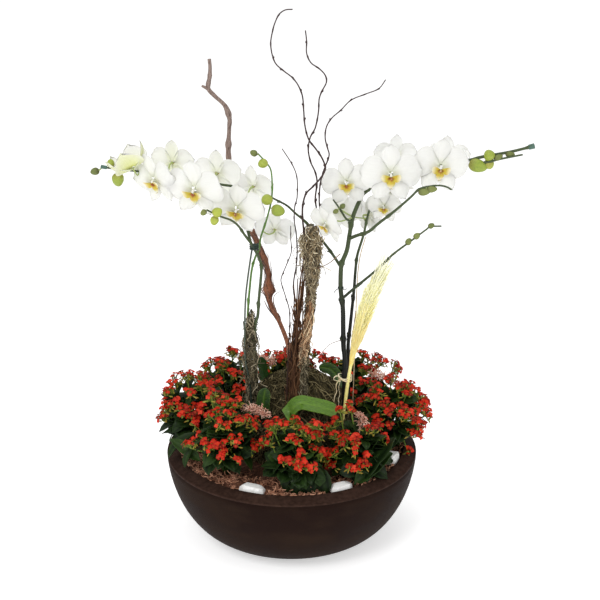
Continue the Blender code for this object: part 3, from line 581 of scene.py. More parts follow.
@dataclass(frozen=True)
class Pebble:
    """Smooth white stone with faint grey veins."""

    white: Colour = (0.95, 0.95, 0.93)
    vein: Colour = (0.82, 0.81, 0.78)

    def lay(self, bench: NodeBench) -> None:
        """Lay out its nodes.

        Args:
            bench: Where they go.
        """
        veins = bench.noise(70, 6, (1, 2.4, 1))
        colour = bench.ramp(veins, (0.36, self.vein), (0.5, self.white))
        bench.finish(colour, veins, (0.35, 0.55), bench.noise(600), 0.0002)


@dataclass(frozen=True)
class FleshyLeaf:
    """Kalanchoe leaf: dark glossy green, lighter on the midrib, the margin and some whole leaves."""

    deep: Colour = (0.0024, 0.0084, 0.0018)
    fresh: Colour = (0.021, 0.049, 0.0072)
    rib: Colour = (0.051, 0.102, 0.021)

    def lay(self, bench: NodeBench) -> None:
        """Lay out its nodes.

        Args:
            bench: Where they go.
        """
        mottle = bench.noise(95, 4)
        pick = bench.varied(mottle, -0.15, 0.15)
        colour = bench.ramp(pick, (0.1, self.deep), (0.75, self.fresh), (1, self.rib))
        colour = bench.mix(bench.times(bench.tint, 0.6), colour, self.rib)
        bench.finish(colour, mottle, (0.38, 0.56), bench.noise(320), 0.0005, 0.16)


@dataclass(frozen=True)
class FloretPetal:
    """Bright red floret, orange towards its middle, with a per-floret tone from deep to pale that also stands
    for painted shade and painted highlight.
    """

    deep: Colour = (0.18, 0.003, 0.003)
    bright: Colour = (0.56, 0.01, 0.004)
    pale: Colour = (0.7, 0.048, 0.024)
    throat: Colour = (0.68, 0.12, 0.012)

    def lay(self, bench: NodeBench) -> None:
        """Lay out its nodes.

        Args:
            bench: Where they go.
        """
        streaks = bench.noise(700)
        pick = bench.varied(streaks, -0.12, 0.12)
        # The deep and pale ends are partly random tone, partly painted shade and painted pinkish highlight.
        colour = bench.ramp(pick, (0.08, self.deep), (0.6, self.bright), (1, self.pale))
        bench.finish(bench.mix(bench.tint, colour, self.throat), streaks, (0.42, 0.60), streaks, 0.0003, 0.16)


@dataclass(frozen=True)
class GreenSkin:
    """Stalks, calyxes and buds: a young and an old green, with another colour by tint."""

    young: Colour
    old: Colour
    tip: Colour
    roughness: float = 0.45
    specular: float = 0.4

    def lay(self, bench: NodeBench) -> None:
        """Lay out its nodes.

        Args:
            bench: Where they go.
        """
        flecks = bench.noise(260, 4)
        colour = bench.mix(bench.varied(flecks, -0.2, 0.2), self.young, self.old)
        rough = (self.roughness - 0.08, self.roughness + 0.1)
        bench.finish(bench.mix(bench.tint, colour, self.tip), flecks, rough, flecks, 0.0003, self.specular)


@dataclass(frozen=True)
class StrapLeafSkin:
    """Orchid leaf: bright waxy green with fine long veins and a pale fold."""

    deep: Colour = (0.018, 0.052, 0.01)
    bright: Colour = (0.115, 0.24, 0.018)
    fold: Colour = (0.19, 0.34, 0.045)

    def lay(self, bench: NodeBench) -> None:
        """Lay out its nodes.

        Args:
            bench: Where they go.
        """
        veins = bench.noise(120, 4, (1, 6, 6))
        colour = bench.ramp(bench.varied(veins, -0.45, 0.35), (0.1, self.deep), (0.8, self.bright))
        colour = bench.mix(bench.times(bench.tint, 0.6), colour, self.fold)
        bench.finish(colour, veins, (0.28, 0.42), veins, 0.0004, 0.45)


@dataclass(frozen=True)
class OrchidPetal:
    """White petal: faint fan veins, a breath of green at the claw, lime on the backs of sepals, and painted
    shade in soft clouds and along its edges.
    """

    white: Colour = (0.8, 0.796, 0.752)
    vein: Colour = (0.735, 0.736, 0.68)
    # Darker colour of the edges and tip: painted shade.
    margin: Colour = (0.75, 0.75, 0.69)
    claw: Colour = (0.67, 0.72, 0.48)
    lime: Colour = (0.66, 0.72, 0.12)
    veins_across: float = 46

    def lay(self, bench: NodeBench) -> None:
        """Lay out its nodes.

        Args:
            bench: Where they go.
        """
        cloud = bench.noise(60, 4)
        fine = bench.noise(420)
        place = bench.maths("MULTIPLY", bench.across, self.veins_across, clamp=False)
        fan = bench.node("TexNoise", {"W": place, "Scale": 1, "Detail": 2}, noise_dimensions="1D")
        fan = fan.outputs["Fac"]
        colour = bench.ramp(fine, (0.1, self.vein), (0.45, self.white))
        colour = bench.mix(bench.spread(fan, 0.48, 0.66, 0, 0.45), colour, self.vein)
        # A soft cloud of grey over the petal: painted shade, spread at random.
        colour = bench.mix(bench.spread(cloud, 0.35, 0.75, 0, 0.3), colour, self.vein)
        # Edges and tip go to the darker margin colour: painted shade along the edges of the petals.
        side = bench.spread(bench.maths("SUBTRACT", bench.across, 0.5, clamp=False), -0.5, 0.5, -1, 1)
        edge = bench.spread(bench.maths("ABSOLUTE", side), 0.86, 1)
        edge = bench.maths("MAXIMUM", edge, bench.spread(bench.along, 0.9, 1))
        colour = bench.mix(bench.times(edge, 0.35), colour, self.margin)
        colour = bench.mix(bench.spread(bench.along, 0, 0.3, 0.6, 0), colour, self.claw)
        relief = bench.maths("ADD", bench.times(fan, 0.7), bench.times(fine, 0.3))
        bench.finish(bench.mix(bench.tint, colour, self.lime), cloud, (0.50, 0.65), relief, 0.0004, 0.15,
                     Subsurface_Weight=0.55, Subsurface_Scale=0.006, Subsurface_Radius=(1, 0.98, 0.9))


@dataclass(frozen=True)
class OrchidLip:
    """Lip: white rim, yellow body and a rust red heart with streaks."""

    rim: Colour = (0.8, 0.77, 0.56)
    yellow: Colour = (0.56, 0.435, 0.03)
    rust: Colour = (0.3, 0.07, 0.01)

    def lay(self, bench: NodeBench) -> None:
        """Lay out its nodes.

        Args:
            bench: Where they go.
        """
        streaks = bench.noise(330, 4, (1, 1, 0.4))
        body = bench.mix(bench.spread(bench.along, 0.5, 0.95), self.yellow, self.rim)
        streaked = bench.spread(streaks, 0.38, 0.54, 0.3, 1)
        heart = bench.times(bench.spread(bench.tint, 0.3, 0.8), streaked)
        bench.finish(bench.mix(heart, body, self.rust), streaks, (0.35, 0.5), streaks, 0.0003,
                     Subsurface_Weight=0.15, Subsurface_Scale=0.002)


@dataclass(frozen=True)
class Bark:
    """Bark with long cracks, from a lower to an upper colour."""

    low: Colour
    high: Colour
    crack: Colour
    grain: float
    depth: float = 0.0012

    def lay(self, bench: NodeBench) -> None:
        """Lay out its nodes.

        Args:
            bench: Where they go.
        """
        cracks = bench.noise(self.grain, 5, (3, 3, 0.5))
        colour = bench.mix(bench.tint, self.low, self.high)
        colour = bench.mix(bench.spread(bench.noise(45), 0.4, 0.75, 0, 0.3), colour, self.high)
        colour = bench.mix(bench.spread(cracks, 0.32, 0.52, 0.85, 0), colour, self.crack)
        bench.finish(colour, cracks, (0.65, 0.9), cracks, self.depth, 0.25)


@dataclass(frozen=True)
class StudioFloor:
    """Plain pale matt floor with the faintest unevenness."""

    pale: Colour = (0.9, 0.9, 0.9)
    light: Colour = (0.93, 0.93, 0.93)
    glow: float = 0.5

    def lay(self, bench: NodeBench) -> None:
        """Lay out its nodes.

        Args:
            bench: Where they go.
        """
        cloud = bench.noise(3, 2)
        bench.finish(bench.ramp(cloud, (0.2, self.pale), (0.8, self.light)), cloud, (0.86, 0.94), specular=0,
                     Emission_Color=(1, 1, 1), Emission_Strength=self.glow)


class Finish(Enum):
    """The finishes of the arrangement, each made once."""

    BOWL = CastBowl()
    SOIL = Grit()
    COPPER = Fibre((0.05, 0.019, 0.011), (0.34, 0.14, 0.078), (0.78, 0.42, 0.27))
    DRIED = Fibre((0.26, 0.085, 0.05), (0.66, 0.31, 0.22), (0.85, 0.6, 0.48))
    MOUND = Fibre((0.012, 0.01, 0.004), (0.08, 0.064, 0.025), (0.33, 0.27, 0.14), 0.1)
    COLUMN = Fibre((0.022, 0.014, 0.007), (0.285, 0.198, 0.096), (0.82, 0.73, 0.52))
    WRAP = Fibre((0.016, 0.015, 0.007), (0.11, 0.09, 0.045), (0.48, 0.41, 0.28), 0.15)
    TAN = Fibre((0.09, 0.034, 0.016), (0.4, 0.2, 0.095), (0.85, 0.68, 0.44))
    PLUME = Fibre((0.98, 0.73, 0.11), (1, 0.95, 0.32), (1, 1, 0.84), 0.4)
    RAFFIA = Fibre((0.48, 0.33, 0.14), (0.76, 0.62, 0.37), (0.9, 0.82, 0.62))
    PEBBLE = Pebble()
    LEAF = FleshyLeaf()
    FLORET = FloretPetal()
    STALK = GreenSkin((0.19, 0.27, 0.038), (0.05, 0.105, 0.016), (0.4, 0.22, 0.035), 0.5, 0.2)
    STRAP = StrapLeafSkin()
    STEM = GreenSkin((0.075, 0.105, 0.042), (0.045, 0.062, 0.028), (0.01, 0.011, 0.011), 0.45, 0.25)
    FRESH_STEM = GreenSkin((0.11, 0.23, 0.03), (0.06, 0.14, 0.02), (0.3, 0.3, 0.06), 0.4)
    PEDICEL = GreenSkin((0.42, 0.5, 0.18), (0.25, 0.33, 0.1), (0.1, 0.15, 0.04))
    # For buds the third colour darkens the base: partly the bud's own colour, partly painted shade.
    BUD = GreenSkin((0.43, 0.48, 0.07), (0.22, 0.31, 0.045), (0.34, 0.29, 0.08), 0.45, 0.35)
    OLIVE_BUD = GreenSkin((0.21, 0.24, 0.07), (0.12, 0.15, 0.045), (0.07, 0.06, 0.03), 0.5, 0.25)
    PETAL = OrchidPetal()
    # A much brighter copy of the petal for flowers turned away from the front: painted light.
    PAINTED_LIT_PETAL = OrchidPetal((0.96, 0.958, 0.925), (0.92, 0.92, 0.88), (0.9, 0.9, 0.85), (0.88, 0.91, 0.7),
                             (0.82, 0.87, 0.42))
    LIP = OrchidLip()
    STAKE = GreenSkin((0.08, 0.1, 0.07), (0.04, 0.06, 0.04), (0.018, 0.03, 0.02), 0.5)
    TAPE = GreenSkin((0.014, 0.034, 0.022), (0.008, 0.02, 0.014), (0.02, 0.02, 0.02), 0.35)
    CAP = GreenSkin((0.09, 0.17, 0.13), (0.06, 0.12, 0.095), (0.15, 0.22, 0.18), 0.45, 0.3)
    BRANCH = Bark((0.33, 0.125, 0.062), (0.29, 0.215, 0.185), (0.045, 0.018, 0.01), 170)
    TRUNK = Bark((0.072, 0.029, 0.012), (0.25, 0.125, 0.058), (0.01, 0.005, 0.003), 260, 0.0016)
    WILLOW = Bark((0.04, 0.017, 0.012), (0.06, 0.038, 0.036), (0.012, 0.006, 0.005), 220, 0.0005)
    FLOOR = StudioFloor()

    def made(self) -> bpy.types.Material:
        """Give the finish's material, made on first use.

        Returns:
            The material.
        """
        name = f"made_{self.name.lower()}"
        if name not in bpy.data.materials:
            self.value.lay(NodeBench(name))
        return bpy.data.materials[name]


# ---------------- bowl and filling

@dataclass
class Bowl:
    """The wide bowl, turned with a rounded foot, a full belly and an inward lip."""

    base_radius: float = 0.090
    lip_width: float = 0.024
    lip_rise: float = 0.007
    bead: float = 0.0020
    wall: float = 0.020
    floor: float = 0.014
    fullness: float = 1.65
    steps: int = 128
    radius: float = field(init=False)
    height: float = field(init=False)

    def __post_init__(self) -> None:
        """Take the radius and the rim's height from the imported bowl."""
        low, high = box("bowl")
        self.radius = (high[0] - low[0]) / 2
        self.height = high[2] - self.lip_rise

    def outer_radius(self, height: Array) -> Array:
        """Give the radius of the outside.

        Args:
            height: Heights over the ground.

        Returns:
            The radius at each height.
        """
        share = np.clip(height / self.height, 0, 1)
        swell = (1 - (1 - share) ** self.fullness) ** (1 / (self.fullness + 1))
        return self.base_radius + (self.radius - self.base_radius) * swell

    def profile(self) -> tuple[Array, Array]:
        """Give the profile from the middle of the underside, out and up, over the lip and down inside.

        Returns:
            Radius and height of each point, and how much each belongs to the lip.
        """
        radius, height, bead, top = self.radius, self.height, self.bead, self.height + self.lip_rise
        belly = height * np.linspace(0.012, 0.965, 34) ** 1.35
        inner = radius - self.lip_width
        outside = [(0.0005, 0), (self.base_radius - 0.006, 0), (self.base_radius - 0.0015, 0.0004),
                   *zip(self.outer_radius(belly), belly),
                   (radius - 0.0016, height - 0.0052), (radius - 0.0014, height - 0.0036)]
        turn = np.radians(np.linspace(-60, 105, 9))
        rim = [(radius - bead + bead * math.cos(a), height - bead * 0.6 + bead * math.sin(a)) for a in turn]
        slope = [(radius - bead + (inner + 0.003 - radius + bead) * t,
                  height + bead * 0.4 + (self.lip_rise - bead * 0.4) * t) for t in (0.15, 0.4, 0.7, 0.95)]
        edge = [(inner + 0.0012, top - 0.0004), (inner, top - 0.002), (inner, height - 0.004)]
        depth = np.linspace(height - 0.012, self.floor + 0.006, 8)
        inside = [(min(self.outer_radius(z) - self.wall, inner), z) for z in depth]
        inside += [(self.base_radius - 0.024, self.floor), (0.0005, self.floor)]
        lip = [0.0] * len(outside) + [1.0] * (len(rim) + len(slope) + len(edge)) + [0.0] * len(inside)
        return np.array([*outside, *rim, *slope, *edge, *inside]), np.array(lip)

    def build(self) -> None:
        """Turn the bowl and give it its finish."""
        draft = Draft()
        profile, lip = self.profile()
        # The lip mask brings in the lighter lip colour: wear and painted highlight.
        draft.turned(profile, self.steps, tint=lip)
        draft.piece("glazeless_bowl", "bowl_brown", Finish.BOWL, nodes=["bowl"], sharp=40)


@dataclass
class FibreBed:
    """Curled copper fibre over the soil, with a few pinkish tufts between the plants."""

    strands: int = 3400
    stations: int = 6
    thickness: float = 0.0008
    tuft_strands: int = 44
    strand_length: float = 0.018
    tuft_length: float = 0.010
    heap_reach: float = 0.030
    edge_fall: float = 0.022
    clearance: float = 0.007
    spill: float = 1.025
    seed: int = 11
    clear_of: tuple[str, ...] = ("pebble_front_left", "pebble_front_right", "pebble_right")
    heaps: Points = ((-140, -128, 20), (-105, -155, 22), (-40, -184, 13), (40, -186, 8), (160, -100, 6),
                     (110, 160, 8), (-150, 110, 8))
    tufts: Points = ((-75, -100, 277), (-66, -100, 276), (-56, -102, 273), (-46, -106, 270), (115, -94, 262),
                     (121, -100, 250), (126, -106, 241), (-55, 100, 290), (-38, 92, 288), (150, 30, 286),
                     (164, 20, 284), (180, 10, 279), (194, 0, 272))

    def soil(self) -> None:
        """Dress the packed soil, which stays."""
        for slot in frame["nodes"]["potting_soil"].material_slots:
            slot.material = Finish.SOIL.made()

    def curls(self, rng: Chance, starts: Array, length: float, lift: float) -> Array:
        """Grow curled strands from their starts.

        Args:
            rng: The source of chance.
            starts: Where each strand begins.
            length: The length of a strand.
            lift: How steeply strands rise, as a share.

        Returns:
            Routes by stations by three.
        """
        number = len(starts)
        heading = rng.uniform(0, math.tau, number)
        bend = rng.normal(0, 0.95, number)
        climb = rng.normal(0, lift, number)
        step = length / (self.stations - 1) * rng.uniform(0.6, 1.3, number)
        routes = [starts]
        for _ in range(self.stations - 1):
            heading = heading + bend + rng.normal(0, 0.25, number)
            climb = climb + rng.normal(0, lift, number)
            ahead = np.stack([np.cos(heading), np.sin(heading), climb], axis=1)
            routes.append(routes[-1] + unit(ahead) * step[:, None])
        return np.stack(routes, axis=1)

    def build(self) -> None:
        """Lay the bed with its strands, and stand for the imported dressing."""
        rng = np.random.default_rng(self.seed)
        reach, level = box("fibre_dressing")[1, [0, 2]]
        draft = Draft()
        heaps = metres(self.heaps)

        def heaped(spots: Array) -> Array:
            """Find how much higher the bed is heaped.

            Args:
                spots: Where to look.

            Returns:
                The extra height at each spot.
            """
            far = ((spots[..., None, :2] - heaps[:, :2]) ** 2).sum(-1)
            inside = np.clip((reach - np.linalg.norm(spots[..., :2], axis=-1)) / self.edge_fall, 0, 1)
            return (heaps[:, 2] * np.exp(-far / self.heap_reach ** 2)).max(-1) * inside ** 0.6

        radius = np.linspace(reach, 0.0005, 42)
        sunk = np.linspace(0, 1, 42) ** 2 * 0.001
        cushion = draft.turned(np.stack([radius, level - 0.002 - sunk], axis=1), 120, shade=0.12)
        wave = np.sin(cushion[:, 0] * 260 + 3 * np.sin(cushion[:, 1] * 150)) * np.cos(cushion[:, 1] * 230)
        cushion[:, 2] += 0.0022 * wave + heaped(cushion)
        distance = reach * np.sqrt(rng.uniform(0.40, 1.0, self.strands) ** 0.8)
        angle = rng.uniform(0, math.tau, self.strands)
        starts = np.stack([distance * np.cos(angle), distance * np.sin(angle), level + 0 * angle], axis=1)
        starts[:, 2] += heaped(starts) + rng.uniform(-0.001, 0.004, self.strands)
        for node in self.clear_of:
            near, far = box(node)
            inside = (starts > near - self.clearance) & (starts < far + self.clearance)
            starts = starts[~inside[:, :2].all(axis=1)]
        routes = self.curls(rng, starts, self.strand_length, 0.26)
        routes[..., 2] = np.maximum(routes[..., 2], level - 0.001 + heaped(routes))
        beyond = np.linalg.norm(routes[..., :2], axis=-1) / reach
        routes[..., :2] /= np.maximum(beyond / self.spill, 1.0)[..., None]
        over_lip = np.maximum(routes[..., 2], box("bowl")[1, 2] + self.thickness)
        routes[..., 2] = np.where(beyond > 0.99, over_lip, routes[..., 2])
        draft.tubes(routes, self.thickness, shade=rng.uniform(0.1, 1.0, len(routes)))
        draft.piece("copper_fibre_bed", "copper_fibre", Finish.COPPER, nodes=["fibre_dressing"])

    def dried_tufts(self) -> None:
        """Make the pinkish tufts that lie on the leaves."""
        rng = np.random.default_rng(self.seed + 1)
        draft = Draft()
        for centre in metres(self.tufts):
            starts = centre + rng.normal(0, 1, (self.tuft_strands, 3)) * (0.0046, 0.0040, 0.0016)
            curls = self.curls(rng, starts, self.tuft_length, 0.4)
            draft.tubes(curls, self.thickness, shade=rng.uniform(0.1, 1.0, self.tuft_strands))
        draft.piece("dried_tufts", "copper_fibre", Finish.DRIED)


@dataclass
class WhitePebble:
    """A flat white stone with worn facets, turned along the bowl's rim; its half sizes are in millimetres."""

    node: str
    half: Place
    seed: int
    raised: float = 0.0
    rings: int = 24
    steps: int = 48
    cuts: Points = ((0.1, -0.1, 1.0), (1.0, 0.1, 0.9), (-1.0, 0.2, 0.6), (0.1, 1.0, 0.8), (0.0, -1.0, 0.6),
                    (0.8, 0.7, 0.2), (-0.7, -0.7, 0.3), (0.8, -0.6, 0.1))
    depths: tuple[float, ...] = (0.62, 0.80, 0.84, 0.78, 0.84, 1.0, 1.0, 1.0)

    def build(self) -> None:
        """Turn the stone, cut its facets and lay it at its packed place."""
        place = box(self.node).sum(axis=0) / 2
        rng = np.random.default_rng(self.seed)
        draft = Draft()
        tilt = np.linspace(-math.pi / 2 + 0.02, math.pi / 2 - 0.02, self.rings)
        points = draft.turned(np.stack([np.cos(tilt), np.sin(tilt)], axis=1), self.steps)
        points[:] = np.sign(points) * np.abs(points) ** 0.50
        cuts = np.array(self.cuts) + rng.normal(0, 0.09, (len(self.cuts), 3))
        reach = np.min(np.array(self.depths) / np.maximum(points @ unit(cuts).T, 1e-3), axis=1)
        points *= (np.minimum(reach, 1.0) ** 0.97)[:, None]
        points *= metres(self.half) / ((points.max(axis=0) - points.min(axis=0)) / 2)
        points -= (points.max(axis=0) + points.min(axis=0)) / 2
        along = math.atan2(place[1], place[0]) + math.pi / 2
        points[:] = points @ spin(along).T + place + (0, 0, self.raised)
        draft.piece(f"{self.node}_stone", "pebble_white", Finish.PEBBLE, nodes=[self.node], sharp=30)


@dataclass
class MossMound:
    """The mound of tangled moss and root that holds the stems."""

    strands: int = 2150
    stations: int = 8
    seed: int = 21

    def surface(self, directions: Array, proud: Array | float) -> Array:
        """Give points on the mound's skin.

        Args:
            directions: Unit directions from the middle of its base.
            proud: How far over the skin each point lies.

        Returns:
            The points.
        """
        low, high = box("moss_mound")
        middle = (low + high) / 2 * (1, 1, 0) + low * (0, 0, 1)
        risen = directions.copy()
        risen[..., 2] = np.clip(risen[..., 2], 0, 1) ** 0.85
        return middle + risen * ((high - low) / (2, 2, 1) + np.asarray(proud)[..., None])

    def build(self) -> None:
        """Build the lumpy core and wind strands over it."""
        rng = np.random.default_rng(self.seed)
        draft = Draft()
        tilt = np.linspace(0.01, math.pi / 2 - 0.02, 30)
        core = draft.turned(np.stack([np.cos(tilt), np.sin(tilt)], axis=1), 72, shade=0.18)
        lumps = 0.0025 * np.sin(core @ (9.0, 13.0, 7.0)) * np.sin(core @ (-14.0, 8.0, 15.0))
        core[:] = self.surface(core, lumps - 0.004)
        where = unit(rng.normal(0, 1, (self.strands, 3)) * (1, 1, 0.9))
        where[:, 2] = np.abs(where[:, 2])
        heading = unit(np.cross(where, rng.normal(0, 1, (self.strands, 3))))
        step = rng.uniform(0.045, 0.12, self.strands)[:, None]
        proud = rng.uniform(-0.002, 0.003, self.strands)
        swing = rng.normal(0, 0.35, self.strands)[:, None]
        routes = []
        for station in range(self.stations):
            arch = math.sin(math.pi * station / (self.stations - 1))
            routes.append(self.surface(where, proud + arch * rng.uniform(0.0, 0.009, self.strands)))
            where = unit(where + heading * step)
            where[:, 2] = np.abs(where[:, 2])
            heading = unit(heading + swing * np.cross(where, heading) + rng.normal(0, 0.2, heading.shape))
        radii = rng.uniform(0.0005, 0.0011, self.strands)[:, None]
        draft.tubes(np.stack(routes, axis=1), radii, shade=rng.beta(1.1, 1.7, self.strands))
        draft.piece("tangled_moss_mound", "moss_fibre", Finish.MOUND, nodes=["moss_mound"])


# ---------------- kalanchoe

@dataclass(frozen=True)
class BigLeaf:
    """One larger leaf that hangs out of a plant: where its stalk ends and its tip, its roll and its look."""

    base: Place
    tip: Place
    roll: float = 0.0
    shade: float = 0.3
    pattern: int = 0


def place_leaf(draft: Draft, pattern: Draft, base: Array, ahead: Array, length: float, roll: float,
               shade: float) -> None:
    """Add one leaf.

    Args:
        draft: Where it goes.
        pattern: A leaf of length one along +X, face up.
        base: Where its stalk ends.
        ahead: Where its tip points.
        length: Its length.
        roll: Turn about its own length, in radians.
        shade: The first share of its dye.
    """
    ahead = unit(ahead)
    side = unit(np.cross((0.0, 0.0, 1.0), ahead))
    side = side * math.cos(roll) + np.cross(ahead, side) * math.sin(roll)
    turn = np.stack([ahead, side, np.cross(ahead, side)], axis=1)
    draft.scatter(pattern, (turn * length)[None], base[None], np.array([shade]))


@dataclass
class Kalanchoe:
    """One kalanchoe plant: fleshy scalloped leaves and loose heads of four-petalled florets.

    The heads on its front are given by their place across and up and a size. More are spread over the rest.
    """

    name: str
    seed: int
    front_heads: Points
    back_heads: int
    leaves: int
    lowest: float
    big_leaves: Sequence[BigLeaf] = ()
    stems: int = 12
    petal_length: float = 0.0046
    petal_width: float = 0.0045
    golden_angle: float = 137.5
    head_gap: float = 0.021
    lowest_stalk: float = 0.160
    stem_foot: float = 0.150
    middle: Array = field(init=False)
    half: Array = field(init=False)
    outward: float = field(init=False)

    def __post_init__(self) -> None:
        """Take the plant's place and size from its packed flowers."""
        low, high = box(f"{self.name}_flowers")
        self.middle = np.array([(low[0] + high[0]) / 2, (low[1] + high[1]) / 2, low[2] - 0.010])
        self.half = np.array([(high[0] - low[0]) / 2, (high[1] - low[1]) / 2, high[2] - self.middle[2]])
        self.outward = math.atan2(self.middle[1], self.middle[0])

    def direction(self, bearing: float, lean: float) -> Array:
        """Give the direction of a bearing and a lean in degrees."""
        turn, tip = self.outward + math.radians(bearing), math.radians(lean)
        return np.array([math.sin(tip) * math.cos(turn), math.sin(tip) * math.sin(turn), math.cos(tip)])

    def front_place(self, across: float, height: float) -> tuple[Array, Array]:
        """Find the place on the front of the plant at so far across and up.

        Args:
            across: The place along X, in millimetres.
            height: The place along Z, in millimetres.

        Returns:
            The place and the direction in which the plant faces there.
        """
        across, height = metres((across, height))
        spread = self.half + 0.004
        share = (across - self.middle[0]) / spread[0]
        up = max((height - self.middle[2]) / spread[2], 0.0)
        deep = math.sqrt(max(1 - share ** 2 - up ** 2, 0.0))
        place = np.array([across, self.middle[1] - deep * spread[1], height])
        return place, unit(np.array([share, -deep, up + 0.25]))

    def floret(self) -> Draft:
        """Draft one floret that faces +Z, with its calyx below.

        Returns:
            The floret.
        """
        draft = Draft()
        length, width = self.petal_length, self.petal_width
        rim = np.array([(-0.10, -0.10, -0.03), (0.52, -0.50, 0.13), (0.98, -0.27, -0.03),
                        (0.98, 0.27, -0.03), (0.52, 0.50, 0.13), (-0.10, 0.10, -0.03)])
        heart = np.array([(0.55, 0.0, -0.03), (0.55, 0.0, -0.15)])
        petal = np.vstack([rim, heart]) * (length, width, length)
        corners = len(rim)
        here = np.arange(corners)
        ahead = np.roll(here, -1)
        top = np.stack([here, ahead, np.full(corners, corners)], axis=1)
        under = np.stack([ahead, here, np.full(corners, corners + 1)], axis=1)
        glow = np.array([0.60, 0.0, 0.0, 0.0, 0.0, 0.60, 0.0, 0.25])
        dyes = np.stack([glow * 0, np.clip(petal[:, 0] / length, 0, 1), glow, glow * 0 + 0.5], axis=1)
        for quarter in range(4):
            draft.add(petal @ spin(quarter * math.pi / 2).T, [(top, 0), (under, 0)], dyes)
        tube = np.array([(0, 0, -0.0008), (0, 0, -0.0055), (0, 0, -0.009)])
        draft.tubes(tube, np.array([0.0012, 0.0018, 0.0008]), 4, slot=1, tint=0.30)
        return draft

    def bud(self) -> Draft:
        """Draft one closed bud that stands on +Z.

        Returns:
            The bud.
        """
        draft = Draft()
        stalk = np.array([(0, 0, -0.006), (0, 0, -0.002), (0, 0, 0.003), (0, 0, 0.0065)])
        ripe = np.array([0.0, 0.2, 0.7, 1.0])
        draft.tubes(stalk, np.array([0.0008, 0.0018, 0.0016, 0.0003]), 4, slot=1, tint=ripe)
        return draft

    def leaf(self, droop: float, fold: float, ripple: float, width: float = 0.33) -> Draft:
        """Draft one leaf of length one along +X, face up.

        Args:
            droop: How far the tip falls.
            fold: How much the halves rise from the midrib.
            ripple: Size of the wave at the margin.
            width: Half its width.

        Returns:
            The leaf.
        """
        stations = 9
        t = np.linspace(0, 1, stations)[None, :]
        across = np.linspace(-1, 1, 5)[:, None]
        away = np.abs(across)
        scallop = 1 - 0.08 * (np.arange(stations) % 2) * (away > 0.9)
        half = width * outline(t, 0.16, 0.55, 2.0) * scallop
        rise = fold * away ** 1.4 * half + 0.20 * t - droop * t ** 2
        rise = rise + ripple * np.sin(t * 9 + across * 2) * away ** 2
        grid = np.stack([t + 0 * across, half * across, rise], axis=-1)
        margin = np.where(away > 0.9, 0.50, np.where(away < 0.1, 0.45, 0.0)) + 0 * t
        draft = Draft()
        draft.sheet(grid[::-1], 0.030 - 0.018 * away + 0 * t, tint=margin, back_tint=0.25)
        return draft

    def foliage(self) -> None:
        """Build the stems and leaves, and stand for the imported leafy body."""
        rng = np.random.default_rng(self.seed)
        draft = Draft()
        patterns = [self.leaf(0.25, 0.25, 0.02), self.leaf(0.50, 0.10, 0.03), self.leaf(0.75, 0.18, 0.02),
                    self.leaf(0.35, 0.70, 0.00, 0.17)]
        for number in range(self.leaves):
            share = (number + 0.5) / self.leaves
            lean = 12 + (self.lowest - 12) * share ** 0.75 + rng.normal(0, 6)
            away = self.direction(number * self.golden_angle + rng.normal(0, 12), lean)
            inner = number % 4 == 3
            length = rng.uniform(0.024, 0.036) * (0.80 + 0.75 * share)
            reach = rng.uniform(0.60, 0.78) if inner else rng.uniform(0.84, 1.02)
            tip = self.middle + away * self.half * reach
            ahead = unit(away * (1, 1, 0.5) + (0, 0, 0.50 - 0.40 * share) + rng.normal(0, 0.22, 3))
            base = tip - ahead * length
            base[2] = max(base[2], self.lowest_stalk)
            # Upper leaves come out a little lighter; inner leaves, deep in the plant, get half the shade:
            # painted shade inside the plant.
            shade = float(np.clip(rng.beta(1.3, 4.2) + 0.10 * (1 - share), 0, 1)) * (0.5 if inner else 1.0)
            place_leaf(draft, patterns[number % 3], base, ahead, length, rng.normal(0, 0.45), shade)
        for big in self.big_leaves:
            base, tip = metres((big.base, big.tip))
            roll = math.radians(big.roll)
            place_leaf(draft, patterns[big.pattern], base, tip - base, math.dist(base, tip), roll, big.shade)
        for _ in range(self.stems):
            away = self.direction(rng.uniform(0, 360), rng.uniform(15, 60))
            foot = np.array([self.middle[0], self.middle[1], self.stem_foot])
            tip = self.middle + away * self.half * 0.55
            route = smooth_route([foot, (foot + tip) / 2 + rng.normal(0, 0.005, 3), tip], 0.015)
            draft.tubes(route, np.linspace(0.0032, 0.0020, len(route)), 6, shade=0.6)
        node = f"{self.name}_leaves"
        draft.piece(f"{self.name}_foliage", "kalanchoe_leaf", Finish.LEAF, nodes=[node])

    def heads(self, rng: Chance) -> list[tuple[Array, Array, float]]:
        """Spread the heads over the plant.

        Args:
            rng: The source of chance.

        Returns:
            The place, the direction and the size of each head.
        """
        heads = [(*self.front_place(across, height), size) for across, height, size in self.front_heads]
        for number in range(self.back_heads):
            lean = 18 + 66 * ((number + 0.5) / self.back_heads) ** 0.7
            away = self.direction(number * self.golden_angle + rng.normal(0, 8), lean)
            place = self.middle + away * (self.half - 0.002)
            nearest = min((np.linalg.norm(place - other) for other, _, _ in heads), default=1.0)
            if nearest > self.head_gap:
                heads.append((place, unit(away + (0, 0, 0.25)), rng.uniform(0.75, 1.15)))
        return heads

